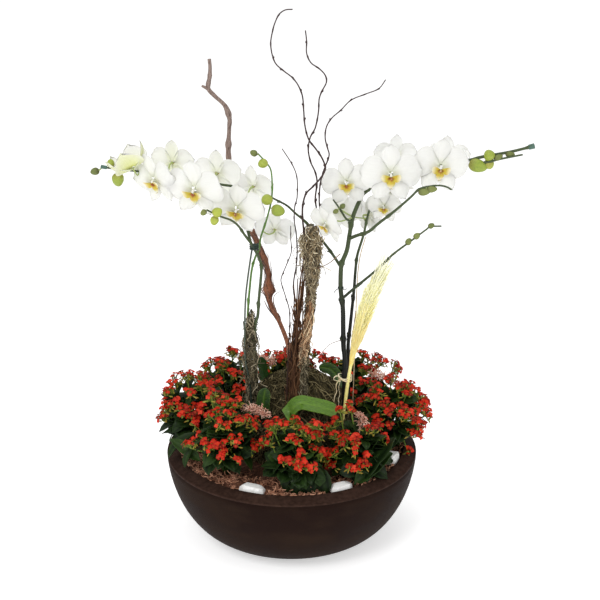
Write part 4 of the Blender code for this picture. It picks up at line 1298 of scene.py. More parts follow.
    def add_head(self, draft: Draft, rng: Chance, centre: Array, axis: Array, size: float) -> None:
        """Add a head of a few branching clusters, each floret on its own stalk.

        Args:
            draft: Where it goes.
            rng: The source of chance.
            centre: The middle of the head.
            axis: The direction in which it faces.
            size: Its size, 1 for a usual one.
        """
        upright = facing(axis + (0, 0, 0.5))[0]
        node = centre - upright[:, 2] * 0.020 * size
        branches = max(1, round(2.9 * size))
        first = rng.uniform(0, math.tau)
        for branch in range(branches):
            turn = first + branch * math.tau / branches + rng.normal(0, 0.3)
            out = 0.0084 * size * (branches > 1)
            aside = (out * math.cos(turn), out * math.sin(turn), rng.uniform(-0.006, 0.003))
            middle = centre + upright @ aside
            ends = np.vstack([self.add_florets(draft, rng, middle, upright, axis),
                              self.add_buds(draft, rng, middle, upright)])
            fork = (node + middle) / 2
            bow = (fork + ends) / 2 + (ends - middle) * 0.3
            stalks = np.stack([np.broadcast_to(fork, ends.shape), bow, ends], axis=1)
            draft.tubes(stalks, 0.0008, slot=1, shade=rng.uniform(0.0, 0.5, len(ends)))
            arm = np.stack([node, (node + fork) / 2 + rng.normal(0, 0.0008, 3), fork])
            draft.tubes(arm, 0.0012, 5, slot=1, shade=0.3)
        root = self.middle + (centre - self.middle) * (0.35, 0.35, 0.0)
        stem = smooth_route([root, (root + node) / 2 + rng.normal(0, 0.003, 3), node], 0.012)
        draft.tubes(stem, np.linspace(0.0019, 0.0013, len(stem)), 6, slot=1, shade=0.45)

    def add_florets(self, draft: Draft, rng: Chance, middle: Array, upright: Array, axis: Array) -> Array:
        """Add a cluster's open florets.

        Args:
            draft: Where they go.
            rng: The source of chance.
            middle: The middle of the cluster.
            upright: The turn of its head.
            axis: The direction in which the head faces.

        Returns:
            Where their stalks end.
        """
        count = int(rng.integers(4, 7))
        rank = np.sqrt((np.arange(count) + 0.3) / count)
        turn = np.arange(count) * GOLDEN_TURN + rng.uniform(0, math.tau)
        cap = np.stack([rank * np.cos(turn), rank * np.sin(turn), 0.9 - 0.9 * rank ** 2], axis=1) @ upright.T
        spots = middle + cap * 0.0074 + rng.normal(0, 0.0007, cap.shape)
        looks = unit(cap) * 0.6 + axis * 0.35 + (0, 0, 0.45) + rng.normal(0, 0.28, cap.shape)
        faces = facing(looks, rng.uniform(0, math.tau, count)) * rng.uniform(0.80, 1.08, count)[:, None, None]
        draft.scatter(self.floret(), faces, spots, np.clip(rng.normal(0.45, 0.27, count), 0, 1))
        return spots - faces[:, :, 2] * 0.006

    def add_buds(self, draft: Draft, rng: Chance, middle: Array, upright: Array) -> Array:
        """Add the closed buds below a cluster.

        Args:
            draft: Where they go.
            rng: The source of chance.
            middle: The middle of the cluster.
            upright: The turn of its head.

        Returns:
            Where they sit.
        """
        young = int(rng.integers(2, 5))
        turns = rng.uniform(0, math.tau, young)
        side = np.stack([np.cos(turns), np.sin(turns), np.full(young, -0.7)], axis=1) @ upright.T
        spots = middle + side * rng.uniform(0.006, 0.010, (young, 1))
        sizes = rng.uniform(0.55, 0.9, young)[:, None, None]
        draft.scatter(self.bud(), facing(side + (0, 0, 0.6)) * sizes, spots, rng.uniform(0.0, 0.4, young))
        return spots

    def bloom(self) -> None:
        """Build the heads of florets on their stalks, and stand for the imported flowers."""
        rng = np.random.default_rng(self.seed + 100)
        draft = Draft()
        for centre, axis, size in self.heads(rng):
            self.add_head(draft, rng, centre, axis, size)
        draft.piece(f"{self.name}_heads", "kalanchoe_flower", Finish.FLORET, Finish.STALK,
                    nodes=[f"{self.name}_flowers"], sharp=75)


# ---------------- orchids

@dataclass(frozen=True)
class Branch:
    """A stem: its radius at its foot and at its tip, and its route, all in millimetres."""

    foot: float
    tip: float
    places: Points

    def follow(self, spacing: float, fall: float = 1.0) -> tuple[Array, Array, Array]:
        """Sample the stem.

        Args:
            spacing: The distance between stations, in metres.
            fall: How the radius falls: evenly for 1, sooner for less.

        Returns:
            The route, how far along it each station is, and the radii, in metres.
        """
        route = smooth_route(metres(self.places), spacing)
        along = np.linspace(0, 1, len(route))
        return route, along, metres(self.foot + (self.tip - self.foot) * along ** fall)


@dataclass(frozen=True)
class Bloom:
    """An open flower: the middle of its face and its width in millimetres, where it looks and its roll.

    Its lime tint and how far it is open are shares.
    """

    centre: Place
    looks: Place
    span: float
    roll: float = 0.0
    lime: float = 0.15
    open: float = 1.0


@dataclass(frozen=True)
class Bud:
    """A closed bud: its middle and radius in millimetres, its stretch, its lean and its colour."""

    centre: Place
    radius: float
    stretch: float = 1.10
    lean: float = 0.0
    olive: bool = False


@dataclass(frozen=True)
class Tepal:
    """One petal or sepal: bearing from the flower's right in degrees, and sizes as shares of its width."""

    bearing: float
    length: float
    width: float
    claw: float
    peak: float
    blunt: float
    set_back: float
    arch: float


TEPALS = (
    Tepal(90, 0.45, 0.30, 0.42, 0.50, 2.1, -0.030, -0.10),
    Tepal(-56, 0.43, 0.30, 0.45, 0.48, 1.9, -0.028, -0.09),
    Tepal(-124, 0.43, 0.30, 0.45, 0.48, 1.9, -0.028, -0.09),
    Tepal(10, 0.46, 0.54, 0.20, 0.50, 2.5, 0.000, -0.13),
    Tepal(170, 0.46, 0.54, 0.20, 0.50, 2.5, 0.006, -0.13),
)


@dataclass
class MothOrchidFlower:
    """One moth orchid flower: three sepals, two broad petals, a three-lobed lip and a column."""

    name: str
    bloom: Bloom
    seed: int
    thickness: float = 0.0009
    along: int = 15
    across: int = 11

    def tepal_grid(self, tepal: Tepal, rng: Chance) -> Array:
        """Give the grid of a petal or sepal.

        Args:
            tepal: Its sizes and place.
            rng: The source of chance for its waves.

        Returns:
            Rows across by places along by three, in the flower's own frame.
        """
        t = np.linspace(0, 1, self.along)[None, :]
        across = np.linspace(1, -1, self.across)[:, None]
        half = tepal.width / 2 * outline(t, tepal.claw, tepal.peak, tepal.blunt)
        reach = 0.035 + tepal.length * t * (1 - 0.05 * across ** 2)
        wave = 0.017 * np.sin(t * rng.uniform(4, 7) + across * rng.uniform(1.5, 2.5) + rng.uniform(0, 6))
        lift = tepal.set_back + 0.12 * t + tepal.arch * t ** 2 - 0.34 * half * across ** 2
        lift = lift + wave * (0.3 + np.abs(across)) * t - 0.012 * np.exp(-(across / 0.10) ** 2) * (1 - t)
        closing = (1.0 - self.bloom.open) * 1.15 * t
        reach, lift = reach * np.cos(closing), lift + reach * np.sin(closing)
        grid = np.stack([reach, half * across, lift], axis=-1)
        return grid @ spin(math.radians(tepal.bearing + rng.normal(0, 2.5))).T

    def add_lip(self, draft: Draft) -> None:
        """Add the side lobes, the middle lobe with its two tendrils, and the callus.

        Args:
            draft: Where they go.
        """
        t = np.linspace(0, 1, 10)[None, :]
        across = np.linspace(1, -1, 7)[:, None]
        for mirror in (1, -1):
            half = 0.068 * outline(t, 0.40, 0.62, 2.3)
            reach = 0.010 + 0.148 * t
            lift = 0.035 + 0.115 * t - 0.055 * t ** 2 + 0.30 * half * across ** 2
            drop = -0.052 - 0.024 * t + 0.055 * t ** 2 + half * across * 0.95
            grid = np.stack([mirror * reach + 0 * across, drop, lift + 0.35 * half * across], axis=-1)
            streak = np.clip(1.05 - 1.7 * t, 0, 1) * (0.65 + 0.35 * np.cos(across * 3)) + 0 * across
            draft.sheet(grid[::mirror], 0.008, slot=1, shade=0.4, tint=streak, back_tint=0.0)
        half = 0.066 * outline(t, 0.42, 0.46, 1.5)
        drop = -0.060 - 0.150 * t
        lift = 0.062 + 0.085 * t - 0.105 * t ** 2 - 0.6 * half * np.abs(across)
        grid = np.stack([half * across, drop + 0 * across, lift], axis=-1)
        heart = np.clip(1.05 - 1.9 * t, 0, 1) * (1 - 0.35 * np.abs(across))
        draft.sheet(grid, 0.010, slot=1, shade=0.6, tint=heart, back_tint=0.0)
        for mirror in (1, -1):
            curl = [(4, -206, 40), (12, -222, 38), (28, -228, 52), (36, -216, 66)]
            route = smooth_route(metres(curl) * (mirror, 1, 1), 0.008)
            draft.tubes(route, np.linspace(0.004, 0.0015, len(route)), 5, slot=1, shade=0.8)
        swell = np.radians(np.linspace(-88, 88, 9))
        profile = np.stack([0.022 * np.cos(swell), 0.016 * np.sin(swell)], axis=1)
        callus = draft.turned(profile, 12, slot=1, tint=1.0)
        callus += (0.0, -0.052, 0.070)

    def add_column(self, draft: Draft) -> None:
        """Add the blunt white column and its anther cap.

        Args:
            draft: Where they go.
        """
        route = smooth_route(metres([(0, 10, -20), (0, 6, 20), (0, -8, 50), (0, -24, 68)]), 0.008)
        thick = np.interp(np.linspace(0, 1, len(route)), (0, 0.3, 0.75, 0.92, 1), (16, 15, 21, 19, 8))
        draft.tubes(route, metres(thick), 12, shade=0.7, tint=0.02)

    def build(self) -> None:
        """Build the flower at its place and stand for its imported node."""
        rng = np.random.default_rng(self.seed)
        draft = Draft()
        bloom = self.bloom
        span = float(metres(bloom.span))
        edge = np.linspace(1, -1, self.across)[:, None] ** 2
        t = np.linspace(0, 1, self.along)[None, :]
        for tepal in TEPALS:
            lime = bloom.lime * (1.0 if tepal.set_back < -0.01 or bloom.open < 1 else 0.30)
            face_tint = np.clip(lime * 0.45 * (1 - t) * (1 - edge), 0, 1)
            back_tint = np.clip(lime * (1.0 - 0.55 * t) * (1 - 0.4 * edge), 0, 1)
            draft.sheet(self.tepal_grid(tepal, rng), self.thickness / span * (1 - 0.6 * edge),
                        shade=rng.uniform(0.3, 0.7), tint=face_tint, back_tint=back_tint)
        self.add_lip(draft)
        self.add_column(draft)
        turn = facing(bloom.looks, bloom.roll)[0] * span
        draft.points = [points @ turn.T + metres(bloom.centre) for points in draft.points]
        # Flowers that look away from the front take the brighter copy: painted light.
        petal = Finish.PAINTED_LIT_PETAL if bloom.looks[1] > 0.5 else Finish.PETAL
        name = f"orchid_{self.name}"
        draft.piece(name, "petal_white", petal, Finish.LIP, nodes=[self.name], sharp=70)


@dataclass
class FlowerSpike:
    """One flower spike: its stem and branches with knots, the flowers' stalks, and buds."""

    node: str
    stem: Branch
    branches: Sequence[Branch]
    blooms: Sequence[Bloom]
    buds: Sequence[Bud]
    finish: Finish
    dark_to: float
    seed: int
    capped: bool = False
    knot_gap: float = 0.070
    knot_width: float = 0.0035
    pedicel_radius: float = 0.0013
    spacing: float = 0.004
    routes: list[Array] = field(default_factory=list)

    def add_stem(self, draft: Draft, branch: Branch, rng: Chance) -> Array:
        """Add one stem with a swollen knot and a papery bract at intervals.

        Args:
            draft: Where it goes.
            branch: Its route and radii.
            rng: The source of chance.

        Returns:
            The route that was followed.
        """
        route, along, radii = branch.follow(self.spacing)
        length = self.spacing * len(route)
        knots = np.arange(self.knot_gap * 0.6, length, self.knot_gap) / length
        swell = sum((np.exp(-((along - knot) * length / self.knot_width) ** 2) for knot in knots), 0 * along)
        dark = 1 / (1 + np.exp((route[:, 2] - self.dark_to) / 0.022))
        draft.tubes(route, radii * (1 + 0.42 * swell), 10, shade=rng.uniform(0.3, 0.6), tint=dark)
        tangents, sides, lifts = carried_frames(route)
        for number, knot in enumerate(knots):
            at = min(int(knot * (len(route) - 1)), len(route) - 3)
            radius = radii[at]
            out = sides[at] * (1 if number % 2 else -1) * 0.8 + lifts[at] * 0.6
            tip = route[at] + tangents[at] * 0.008 + out * radius * 2.0
            bract = [route[at] + out * radius * 0.3, (route[at] + tip) / 2 + out * radius * 0.7, tip]
            radii_of_bract = (radius * 0.9, radius * 0.7, 0.0002)
            draft.tubes(bract, radii_of_bract, 6, flat=0.5, shade=0.2, tint=dark[at] * 0.7)
        return route

    def add_pedicel(self, draft: Draft, bloom: Bloom) -> None:
        """Add the stalk from the spike to the back of a flower.

        Args:
            draft: Where it goes.
            bloom: The flower.
        """
        look = unit(np.asarray(bloom.looks, float))
        end = metres(bloom.centre) - look * 0.030 * metres(bloom.span)
        behind = end - look * 0.012
        stem = self.routes[0]
        start = stem[np.argmin(np.linalg.norm(stem - (end - look * 0.022), axis=1))]
        middle = start + (behind - start) * 0.55 - (0, 0, 0.004)
        route = smooth_route([start, middle, behind, end], 0.003)
        swell = np.interp(np.linspace(0, 1, len(route)), (0, 0.15, 0.6, 1.0), (1.2, 0.85, 1.0, 1.5))
        draft.tubes(route, swell * self.pedicel_radius, 8, slot=1, shade=0.3)

    def add_bud(self, draft: Draft, bud: Bud, rng: Chance) -> None:
        """Add a ridged egg-shaped bud and its short stalk.

        Args:
            draft: Where it goes.
            bud: Its place, size and look.
            rng: The source of chance.
        """
        centre, radius = metres(bud.centre), metres(bud.radius)
        stems = np.vstack(self.routes)
        tangents = np.vstack([unit(np.gradient(route, axis=0)) for route in self.routes])
        nearest = np.argmin(np.linalg.norm(stems - centre, axis=1))
        start = stems[nearest] - tangents[nearest] * bud.lean * radius * bud.stretch
        away = unit(unit(centre - start + (0, 0, 0.0005)) * (1 - bud.lean) + tangents[nearest] * bud.lean)
        tilt = np.radians(np.linspace(-89, 89, 15))
        profile = np.stack([np.cos(tilt) * (1 - 0.16 * np.sin(tilt)), np.sin(tilt) * bud.stretch], axis=1)
        # The base of the bud, towards its stalk, takes the darker third colour: partly its own colour, partly
        # painted shade.
        shape = draft.turned(profile, 18, 3 if bud.olive else 2, rng.uniform(0.1, 0.9),
                             np.clip(-np.sin(tilt) - 0.2, 0, 1) * 0.9)
        shape[:, :2] *= (1 + 0.05 * np.cos(3 * np.arctan2(shape[:, 1], shape[:, 0])))[:, None]
        shape[:] = (shape * radius) @ facing(away)[0].T + centre
        neck = centre - away * radius * bud.stretch * 0.85
        draft.tubes([start, (start + neck) / 2, neck], [0.0014, 0.0011, 0.0016], 8, slot=1, shade=0.6)

    def build(self) -> None:
        """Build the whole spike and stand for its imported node."""
        rng = np.random.default_rng(self.seed)
        draft = Draft()
        self.routes = [self.add_stem(draft, branch, rng) for branch in (self.stem, *self.branches)]
        for bloom in self.blooms:
            self.add_pedicel(draft, bloom)
        for bud in self.buds:
            self.add_bud(draft, bud, rng)
        draft.piece(f"{self.node}_stems", "orchid_stem", self.finish, Finish.PEDICEL, Finish.BUD,
                    Finish.OLIVE_BUD, nodes=[self.node])

    def tip_cap(self) -> None:
        """Put the soft cap over the end of the spike's support."""
        route = self.routes[0]
        ahead = unit(route[-1] - route[-3])
        ends = route[-1] + ahead * np.array([-0.010, -0.009, 0.000, 0.0005])[:, None]
        draft = Draft()
        draft.tubes(ends, metres(self.stem.tip * np.array([1.6, 1.9, 2.0, 1.3])), 14, shade=0.4)
        draft.piece(f"{self.node}_tip_cap", "orchid_stem", Finish.CAP, sharp=40)


@dataclass
class StrapLeaf:
    """One thick orchid leaf, folded along its middle; its spine and its width are in millimetres."""

    node: str
    width: float
    hint: Place
    fold: float
    shade: float
    spine: Points
    neck: float = 0.45
    blunt: float = 0.22
    thickness: float = 0.0024

    def build(self) -> None:
        """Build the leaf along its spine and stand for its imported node."""
        route = smooth_route(metres(self.spine), 0.0035)
        tangents = unit(np.gradient(route, axis=0))
        side = unit(np.cross(tangents, self.hint))
        along = np.linspace(0, 1, len(route))
        half = self.neck + (1 - self.neck) * np.sin(math.pi / 2 * (along / 0.45).clip(0, 1))
        half *= (1 - ((along - 1 + self.blunt) / self.blunt).clip(0, 0.985) ** 2.6) ** 0.5
        half *= metres(self.width) / 2
        across = np.linspace(-1, 1, 13)[:, None]
        rise = self.fold * np.abs(across) ** 1.3 - 0.10 * np.exp(-(across / 0.12) ** 2)
        grid = route + side * (half * across)[..., None] + np.cross(side, tangents) * (half * rise)[..., None]
        edge = np.abs(across) + 0 * along
        tint = np.where(edge > 0.9, 0.35, np.exp(-(edge / 0.15) ** 2) * 0.8)
        draft = Draft()
        draft.sheet(grid, self.thickness * (1 - 0.55 * edge ** 2), shade=self.shade, tint=tint, back_tint=0.1)
        draft.piece(f"{self.node}_blade", "orchid_leaf", Finish.STRAP, nodes=[self.node], sharp=70)


@dataclass
class StemTie:
    """Dark tape wound round a bunch of stems, or a wire twisted shut with ends; all sizes in millimetres."""

    name: str
    centre: Place
    radius: float
    turns: int
    rise: float
    wire: float
    ends: Sequence[Points] = ()

    def build(self) -> None:
        """Wind the tie and add its ends."""
        angle = np.linspace(0, self.turns * math.tau, self.turns * 18)
        wide = self.radius * (1 + 0.06 * np.sin(angle * 3))
        height = np.linspace(-self.rise / 2, self.rise / 2, len(angle))
        coil = np.stack([wide * np.cos(angle), wide * 0.8 * np.sin(angle), height], axis=1)
        centre, wire = metres(self.centre), metres(self.wire)
        draft = Draft()
        draft.tubes(metres(coil) + centre, wire, 6)
        for end in self.ends:
            draft.tubes(smooth_route(metres(end), 0.002) + centre, wire * 0.8, 6)
        draft.piece(self.name, "stake_dark", Finish.TAPE)


# ---------------- branches, moss, plume and tie

@dataclass
class BareBranch:
    """The thick branch: knobbly, with peeling strips of bark low down and grey bark above."""

    stem: Branch
    stub: Branch
    seed: int = 41
    sides: int = 16
    knobs: int = 22
    strips: int = 84
    grey_from: float = 0.60
    peel_heights: tuple[float, float] = (0.39, 0.54)
    bulk_heights: tuple[float, ...] = (0.40, 0.445, 0.49, 0.55)
    bulks: tuple[float, ...] = (0.74, 1.08, 1.04, 1.02)

    def limb(self, draft: Draft, branch: Branch, rng: Chance, knobs: int) -> tuple[Array, Array]:
        """Add one limb with swellings and long ridges.

        Args:
            draft: Where it goes.
            branch: Its route and radii.
            rng: The source of chance.
            knobs: How many swellings it has.

        Returns:
            The route that was followed, and its radii.
        """
        route, along, radii = branch.follow(0.0035)
        radii = radii * np.interp(route[:, 2], self.bulk_heights, self.bulks)
        for knot in rng.uniform(0.02, 0.98, knobs):
            size = rng.uniform(0.10, 0.38)
            radii = radii * (1 + size * np.exp(-((along - knot) / rng.uniform(0.006, 0.020)) ** 2))
        grey = 1 / (1 + np.exp(-(route[:, 2] - self.grey_from) / 0.03))
        draft.tubes(route, radii, self.sides, tint=grey)
        rings = draft.points[-1].reshape(len(route), self.sides, 3)
        turn = np.arange(self.sides) * math.tau / self.sides
        phase = np.cumsum(rng.normal(0, 0.10, len(route)))[:, None]
        ridge = 0.11 * np.sin(3 * turn + phase) + 0.07 * np.sin(5 * turn - 1.7 * phase)
        rings += (rings - route[:, None]) * ridge[..., None]
        return route, radii

    def build(self) -> None:
        """Build the branch with its stub and its peeling strips."""
        rng = np.random.default_rng(self.seed)
        draft = Draft()
        route, radii = self.limb(draft, self.stem, rng, self.knobs)
        self.limb(draft, self.stub, rng, 1)
        low, high = self.peel_heights
        span = np.flatnonzero((route[:, 2] > low) & (route[:, 2] < high))
        _, sides, lifts = carried_frames(route)
        for _ in range(self.strips):
            first = int(rng.choice(span))
            count = int(rng.integers(5, 13))
            at = np.clip(np.arange(first, first + count), 0, len(route) - 1)
            angle = (rng.uniform(0, math.tau) + np.linspace(0, rng.normal(0, 0.8), count))[:, None]
            away = 1 + 0.5 * np.sin(np.linspace(0, math.pi, count))
            if rng.random() < 0.6:
                away = np.linspace(0.95, rng.uniform(1.1, 2.4), count)
            ring = sides[at] * np.cos(angle) + lifts[at] * np.sin(angle)
            strip = route[at] + ring * (radii[at] * away)[:, None]
            draft.tubes(strip, np.linspace(0.0014, 0.0005, count), 4, flat=0.4, tint=rng.uniform(0.0, 1.0))
        draft.piece("peeling_branch", "bark", Finish.BRANCH, nodes=["thick_branch"], sharp=80)


@dataclass
class CurlyWillow:
    """The willow twigs with their small buds, and the bunch of bases where they rise from the moss."""

    twigs: dict[str, Branch]
    shoots: Sequence[Branch]
    seed: int = 51
    bud_gap: float = 0.026
    spacing: float = 0.003
    fibres: int = 220

    def twig(self, node: str, branch: Branch, rng: Chance) -> None:
        """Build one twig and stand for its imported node.

        Args:
            node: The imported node.
            branch: Its route and radii.
            rng: The source of chance.
        """
        draft = Draft()
        route, _, radii = branch.follow(self.spacing, 0.8)
        tangents, sides, lifts = carried_frames(route)
        pitch = max(int(self.bud_gap / self.spacing), 2)
        swell = np.zeros(len(route))
        for number, at in enumerate(range(pitch, len(route) - 4, pitch)):
            swell += np.exp(-((np.arange(len(route)) - at) / 1.1) ** 2)
            angle = number * 2.4 + rng.normal(0, 0.4)
            size = max(radii[at], 0.0010)
            out = (sides[at] * math.cos(angle) + lifts[at] * math.sin(angle)) * size
            ahead = tangents[at] * size
            bud = route[at] + [out * 0.5, out * 1.9 + ahead * 1.6, out * 1.7 + ahead * 4.2]
            draft.tubes(bud, size * np.array([0.8, 0.7, 0.1]), 5, tint=0.1)
        draft.tubes(route, radii * (1 + 0.35 * swell), 8, tint=np.clip((route[:, 2] - 0.45) / 0.3, 0, 1))
        draft.piece(f"{node}_twig", "willow", Finish.WILLOW, nodes=[node], sharp=70)

    def bases(self, rng: Chance) -> None:
        """Build the bunch of thicker shoots that fork round the foot of the twigs.

        Args:
            rng: The source of chance.
        """
        draft = Draft()
        for shoot in self.shoots:
            route, along, radii = shoot.follow(0.004)
            draft.tubes(route, radii * (1 + 0.10 * np.sin(along * 23 + rng.uniform(0, 6))), 10)
        for _ in range(self.fibres):
            risen = rng.uniform() ** 2.1
            start = np.array([0.003 + 0.009 * risen ** 2, -0.040 + 0.004 * risen, 0.23 + 0.20 * risen])
            start += rng.normal(0, 1, 3) * (0.0058 - 0.0022 * risen, 0.0040, 0.004)
            end = start + (rng.normal(0.003, 0.007), rng.normal(0, 0.003), rng.uniform(0.02, 0.06))
            route = smooth_route([start, (start + end) / 2 + rng.normal(0, 0.003, 3), end], 0.008)
            draft.tubes(route, rng.uniform(0.0004, 0.0011), 4, tint=rng.beta(0.5, 1.0))
        draft.piece("willow_bases", "willow", Finish.TRUNK, sharp=80)

    def build(self) -> None:
        """Build the bunch and every twig."""
        rng = np.random.default_rng(self.seed)
        self.bases(rng)
        for node, branch in self.twigs.items():
            self.twig(node, branch, rng)


class Core:
    """The middle of a hank or a plume: a route with a carried frame and a reach at each station."""

    spacing = 0.004

    def __init__(self, places: Points, radii: Sequence[float]) -> None:
        """Sample the route and the reach.

        Args:
            places: The places that the route passes, in millimetres.
            radii: The reach at even steps along it, in millimetres.
        """
        self.route = smooth_route(metres(places), self.spacing)
        self.along = np.linspace(0, 1, len(self.route))
        self.reach = np.interp(self.along, np.linspace(0, 1, len(radii)), metres(radii))
        self.tangents, self.sides, self.lifts = carried_frames(self.route)

    def surround(self, shares: Array, angle: Array, away: Array) -> tuple[Array, Array]:
        """Find places round the route.

        Args:
            shares: How far along the route each place is.
            angle: Its turn about the route.
            away: Its distance as a share of the reach there.

        Returns:
            The place on the route, and the step out from it.
        """
        last = len(self.route) - 1
        at = shares * last
        low = np.clip(at.astype(int), 0, last - 1)
        blend = (at - low)[..., None]
        centre = self.route[low] * (1 - blend) + self.route[low + 1] * blend
        reach = (np.interp(at, np.arange(last + 1), self.reach) * away)[..., None]
        out = self.sides[low] * np.cos(angle)[..., None] + self.lifts[low] * np.sin(angle)[..., None]
        return centre, reach * out


@dataclass
class FibreHank:
    """A hank of hanging moss: curly strands that follow a route and fray out of it.

    The route and its radii are in millimetres.
    """

    name: str
    nodes: Sequence[str]
    finish: Finish
    seed: int
    strands: int
    radii: Sequence[float]
    route: Points
    length: float
    curl: float
    stray: float
    core: float = 0.0
    thickness: float = 0.0007
    stations: int = 9

    def build(self) -> None:
        """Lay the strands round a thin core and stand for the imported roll."""
        rng = np.random.default_rng(self.seed)
        draft = Draft()
        core = Core(self.route, self.radii)
        core.reach *= 1 + 0.16 * np.sin(core.along * 31) + 0.12 * np.sin(core.along * 57 + 1)
        # The thin core takes a low shade and a tint towards the dark colour: painted shade in the depth of
        # the hank.
        if self.core:
            draft.tubes(core.route, core.reach * self.core, 14, shade=0.05, tint=0.5)
        share = self.length / (core.spacing * len(core.route))
        each = (self.strands, 1)
        top = rng.uniform(share * 0.35, 1.0, self.strands)
        ranks = np.linspace(0, 1, self.stations)
        shares = np.clip(top[:, None] - share * ranks * rng.uniform(0.5, 1.2, each), 0, 1)
        angle = rng.uniform(0, math.tau, each)
        angle = angle + np.cumsum(rng.normal(0, 0.30, (self.strands, self.stations)), axis=1)
        depth = rng.uniform(0.62, 1.04, each) * np.ones(self.stations)
        loose = rng.random(each) < self.stray
        depth = depth + loose * np.abs(rng.normal(0, 0.75, each)) * ranks ** 1.5
        centre, out = core.surround(shares, angle, depth)
        swing = rng.uniform(0, math.tau, (*each, 3)) + ranks[:, None] * rng.uniform(4, 13, (*each, 3))
        routes = centre + out + self.curl * rng.uniform(0.2, 1.0, (*each, 1)) * np.sin(swing)
        radii = self.thickness * rng.uniform(0.6, 1.25, each)
        draft.tubes(routes, radii, shade=rng.beta(0.9, 1.2, self.strands))
        draft.piece(self.name, "hanging_moss", self.finish, nodes=self.nodes)


@dataclass
class GrassPlume:
    """The dried plume: a smooth stalk and fine silky hairs that open upwards."""

    radii: Sequence[float]
    route: Points
    hairs: int = 1250
    stations: int = 6
    seed: int = 61

    def build(self) -> None:
        """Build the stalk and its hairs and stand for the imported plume."""
        rng = np.random.default_rng(self.seed)
        draft = Draft()
        core = Core(self.route, self.radii)
        thin = np.interp(core.along, (0, 0.25, 0.6, 1.0), (0.0012, 0.0030, 0.0026, 0.0006))
        draft.tubes(core.route, thin, 8, shade=0.35)
        start = 0.40 + 0.50 * rng.uniform(0, 1, self.hairs) ** 1.4
        length = rng.uniform(0.14, 0.38, self.hairs) * (1.05 - 0.35 * start)
        angle = rng.uniform(0, math.tau, self.hairs)[:, None]
        reach = np.sqrt(rng.uniform(0.02, 1.0, self.hairs))[:, None]
        ranks = np.linspace(0, 1, self.stations)
        shares = start[:, None] + length[:, None] * ranks
        centre, out = core.surround(np.clip(shares, 0, 1), angle, reach * ranks ** 0.8)
        over = np.clip(shares - 1, 0, 1) * 0.335
        wave = 0.0012 * np.sin(rng.uniform(0, 6, (self.hairs, 1, 3)) + ranks[:, None] * 5)
        radii = np.interp(ranks, (0, 0.3, 1), (0.00045, 0.0006, 0.00025))
        shade = np.clip(rng.normal(0.15, 0.13, self.hairs) + 1.5 * (start - 0.4), 0, 1)
        draft.tubes(centre + core.tangents[-1] * over[..., None] + out + wave, radii, shade=shade)
        draft.piece("silky_plume", "plume", Finish.PLUME, nodes=["plume"])


@dataclass
class RaffiaBow:
    """Raffia wound round the stems and the plume, with a loose bow and hanging ends in millimetres."""

    wraps: int = 3
    width: float = 0.0018
    half: tuple[float, float] = (0.0115, 0.0120)
    place: tuple[float, float] = (0.0940, -0.0270)
    seed: int = 71
    tails: Sequence[Points] = (
        ((-8, -10, 1), (-15, -14, -6), (-16, -16, -22), (-20, -16, -38)),
        ((-8, -11, 0), (-11, -14, -10), (-10, -16, -26), (-12, -16, -40)),
        ((-8, -11, 2), (-16, -13, 8), (-20, -14, 2), (-9, -13, -3)),
        ((-12, -13, -34), (-11, -16, -46), (-10, -17, -58)),
    )

    def build(self) -> None:
        """Wind the wraps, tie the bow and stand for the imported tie."""
        rng = np.random.default_rng(self.seed)
        centre = np.array([*self.place, box("raffia_tie")[1, 2] - 0.004])
        draft = Draft()
        for wrap in range(self.wraps):
            angle = np.linspace(0, math.tau, 40)
            height = 0.002 * np.sin(angle * 2 + wrap) + 0.003 * (wrap - 1)
            ring = np.stack([self.half[0] * np.cos(angle), self.half[1] * np.sin(angle), height], axis=1)
            draft.tubes(ring + centre, self.width * 0.7, 6, flat=0.4, shade=rng.uniform(0.3, 0.9))
        for tail in self.tails:
            route = smooth_route(metres(tail), 0.003) + centre
            route = route + 0.0006 * np.sin(np.arange(len(route))[:, None] * (0.9, 1.1, 0.7))
            draft.tubes(route, self.width * rng.uniform(0.7, 1.0), 6, flat=0.35, shade=rng.uniform(0.3, 1.0))
        draft.piece("raffia_bow", "raffia", Finish.RAFFIA, nodes=["raffia_tie"])


# ---------------- studio

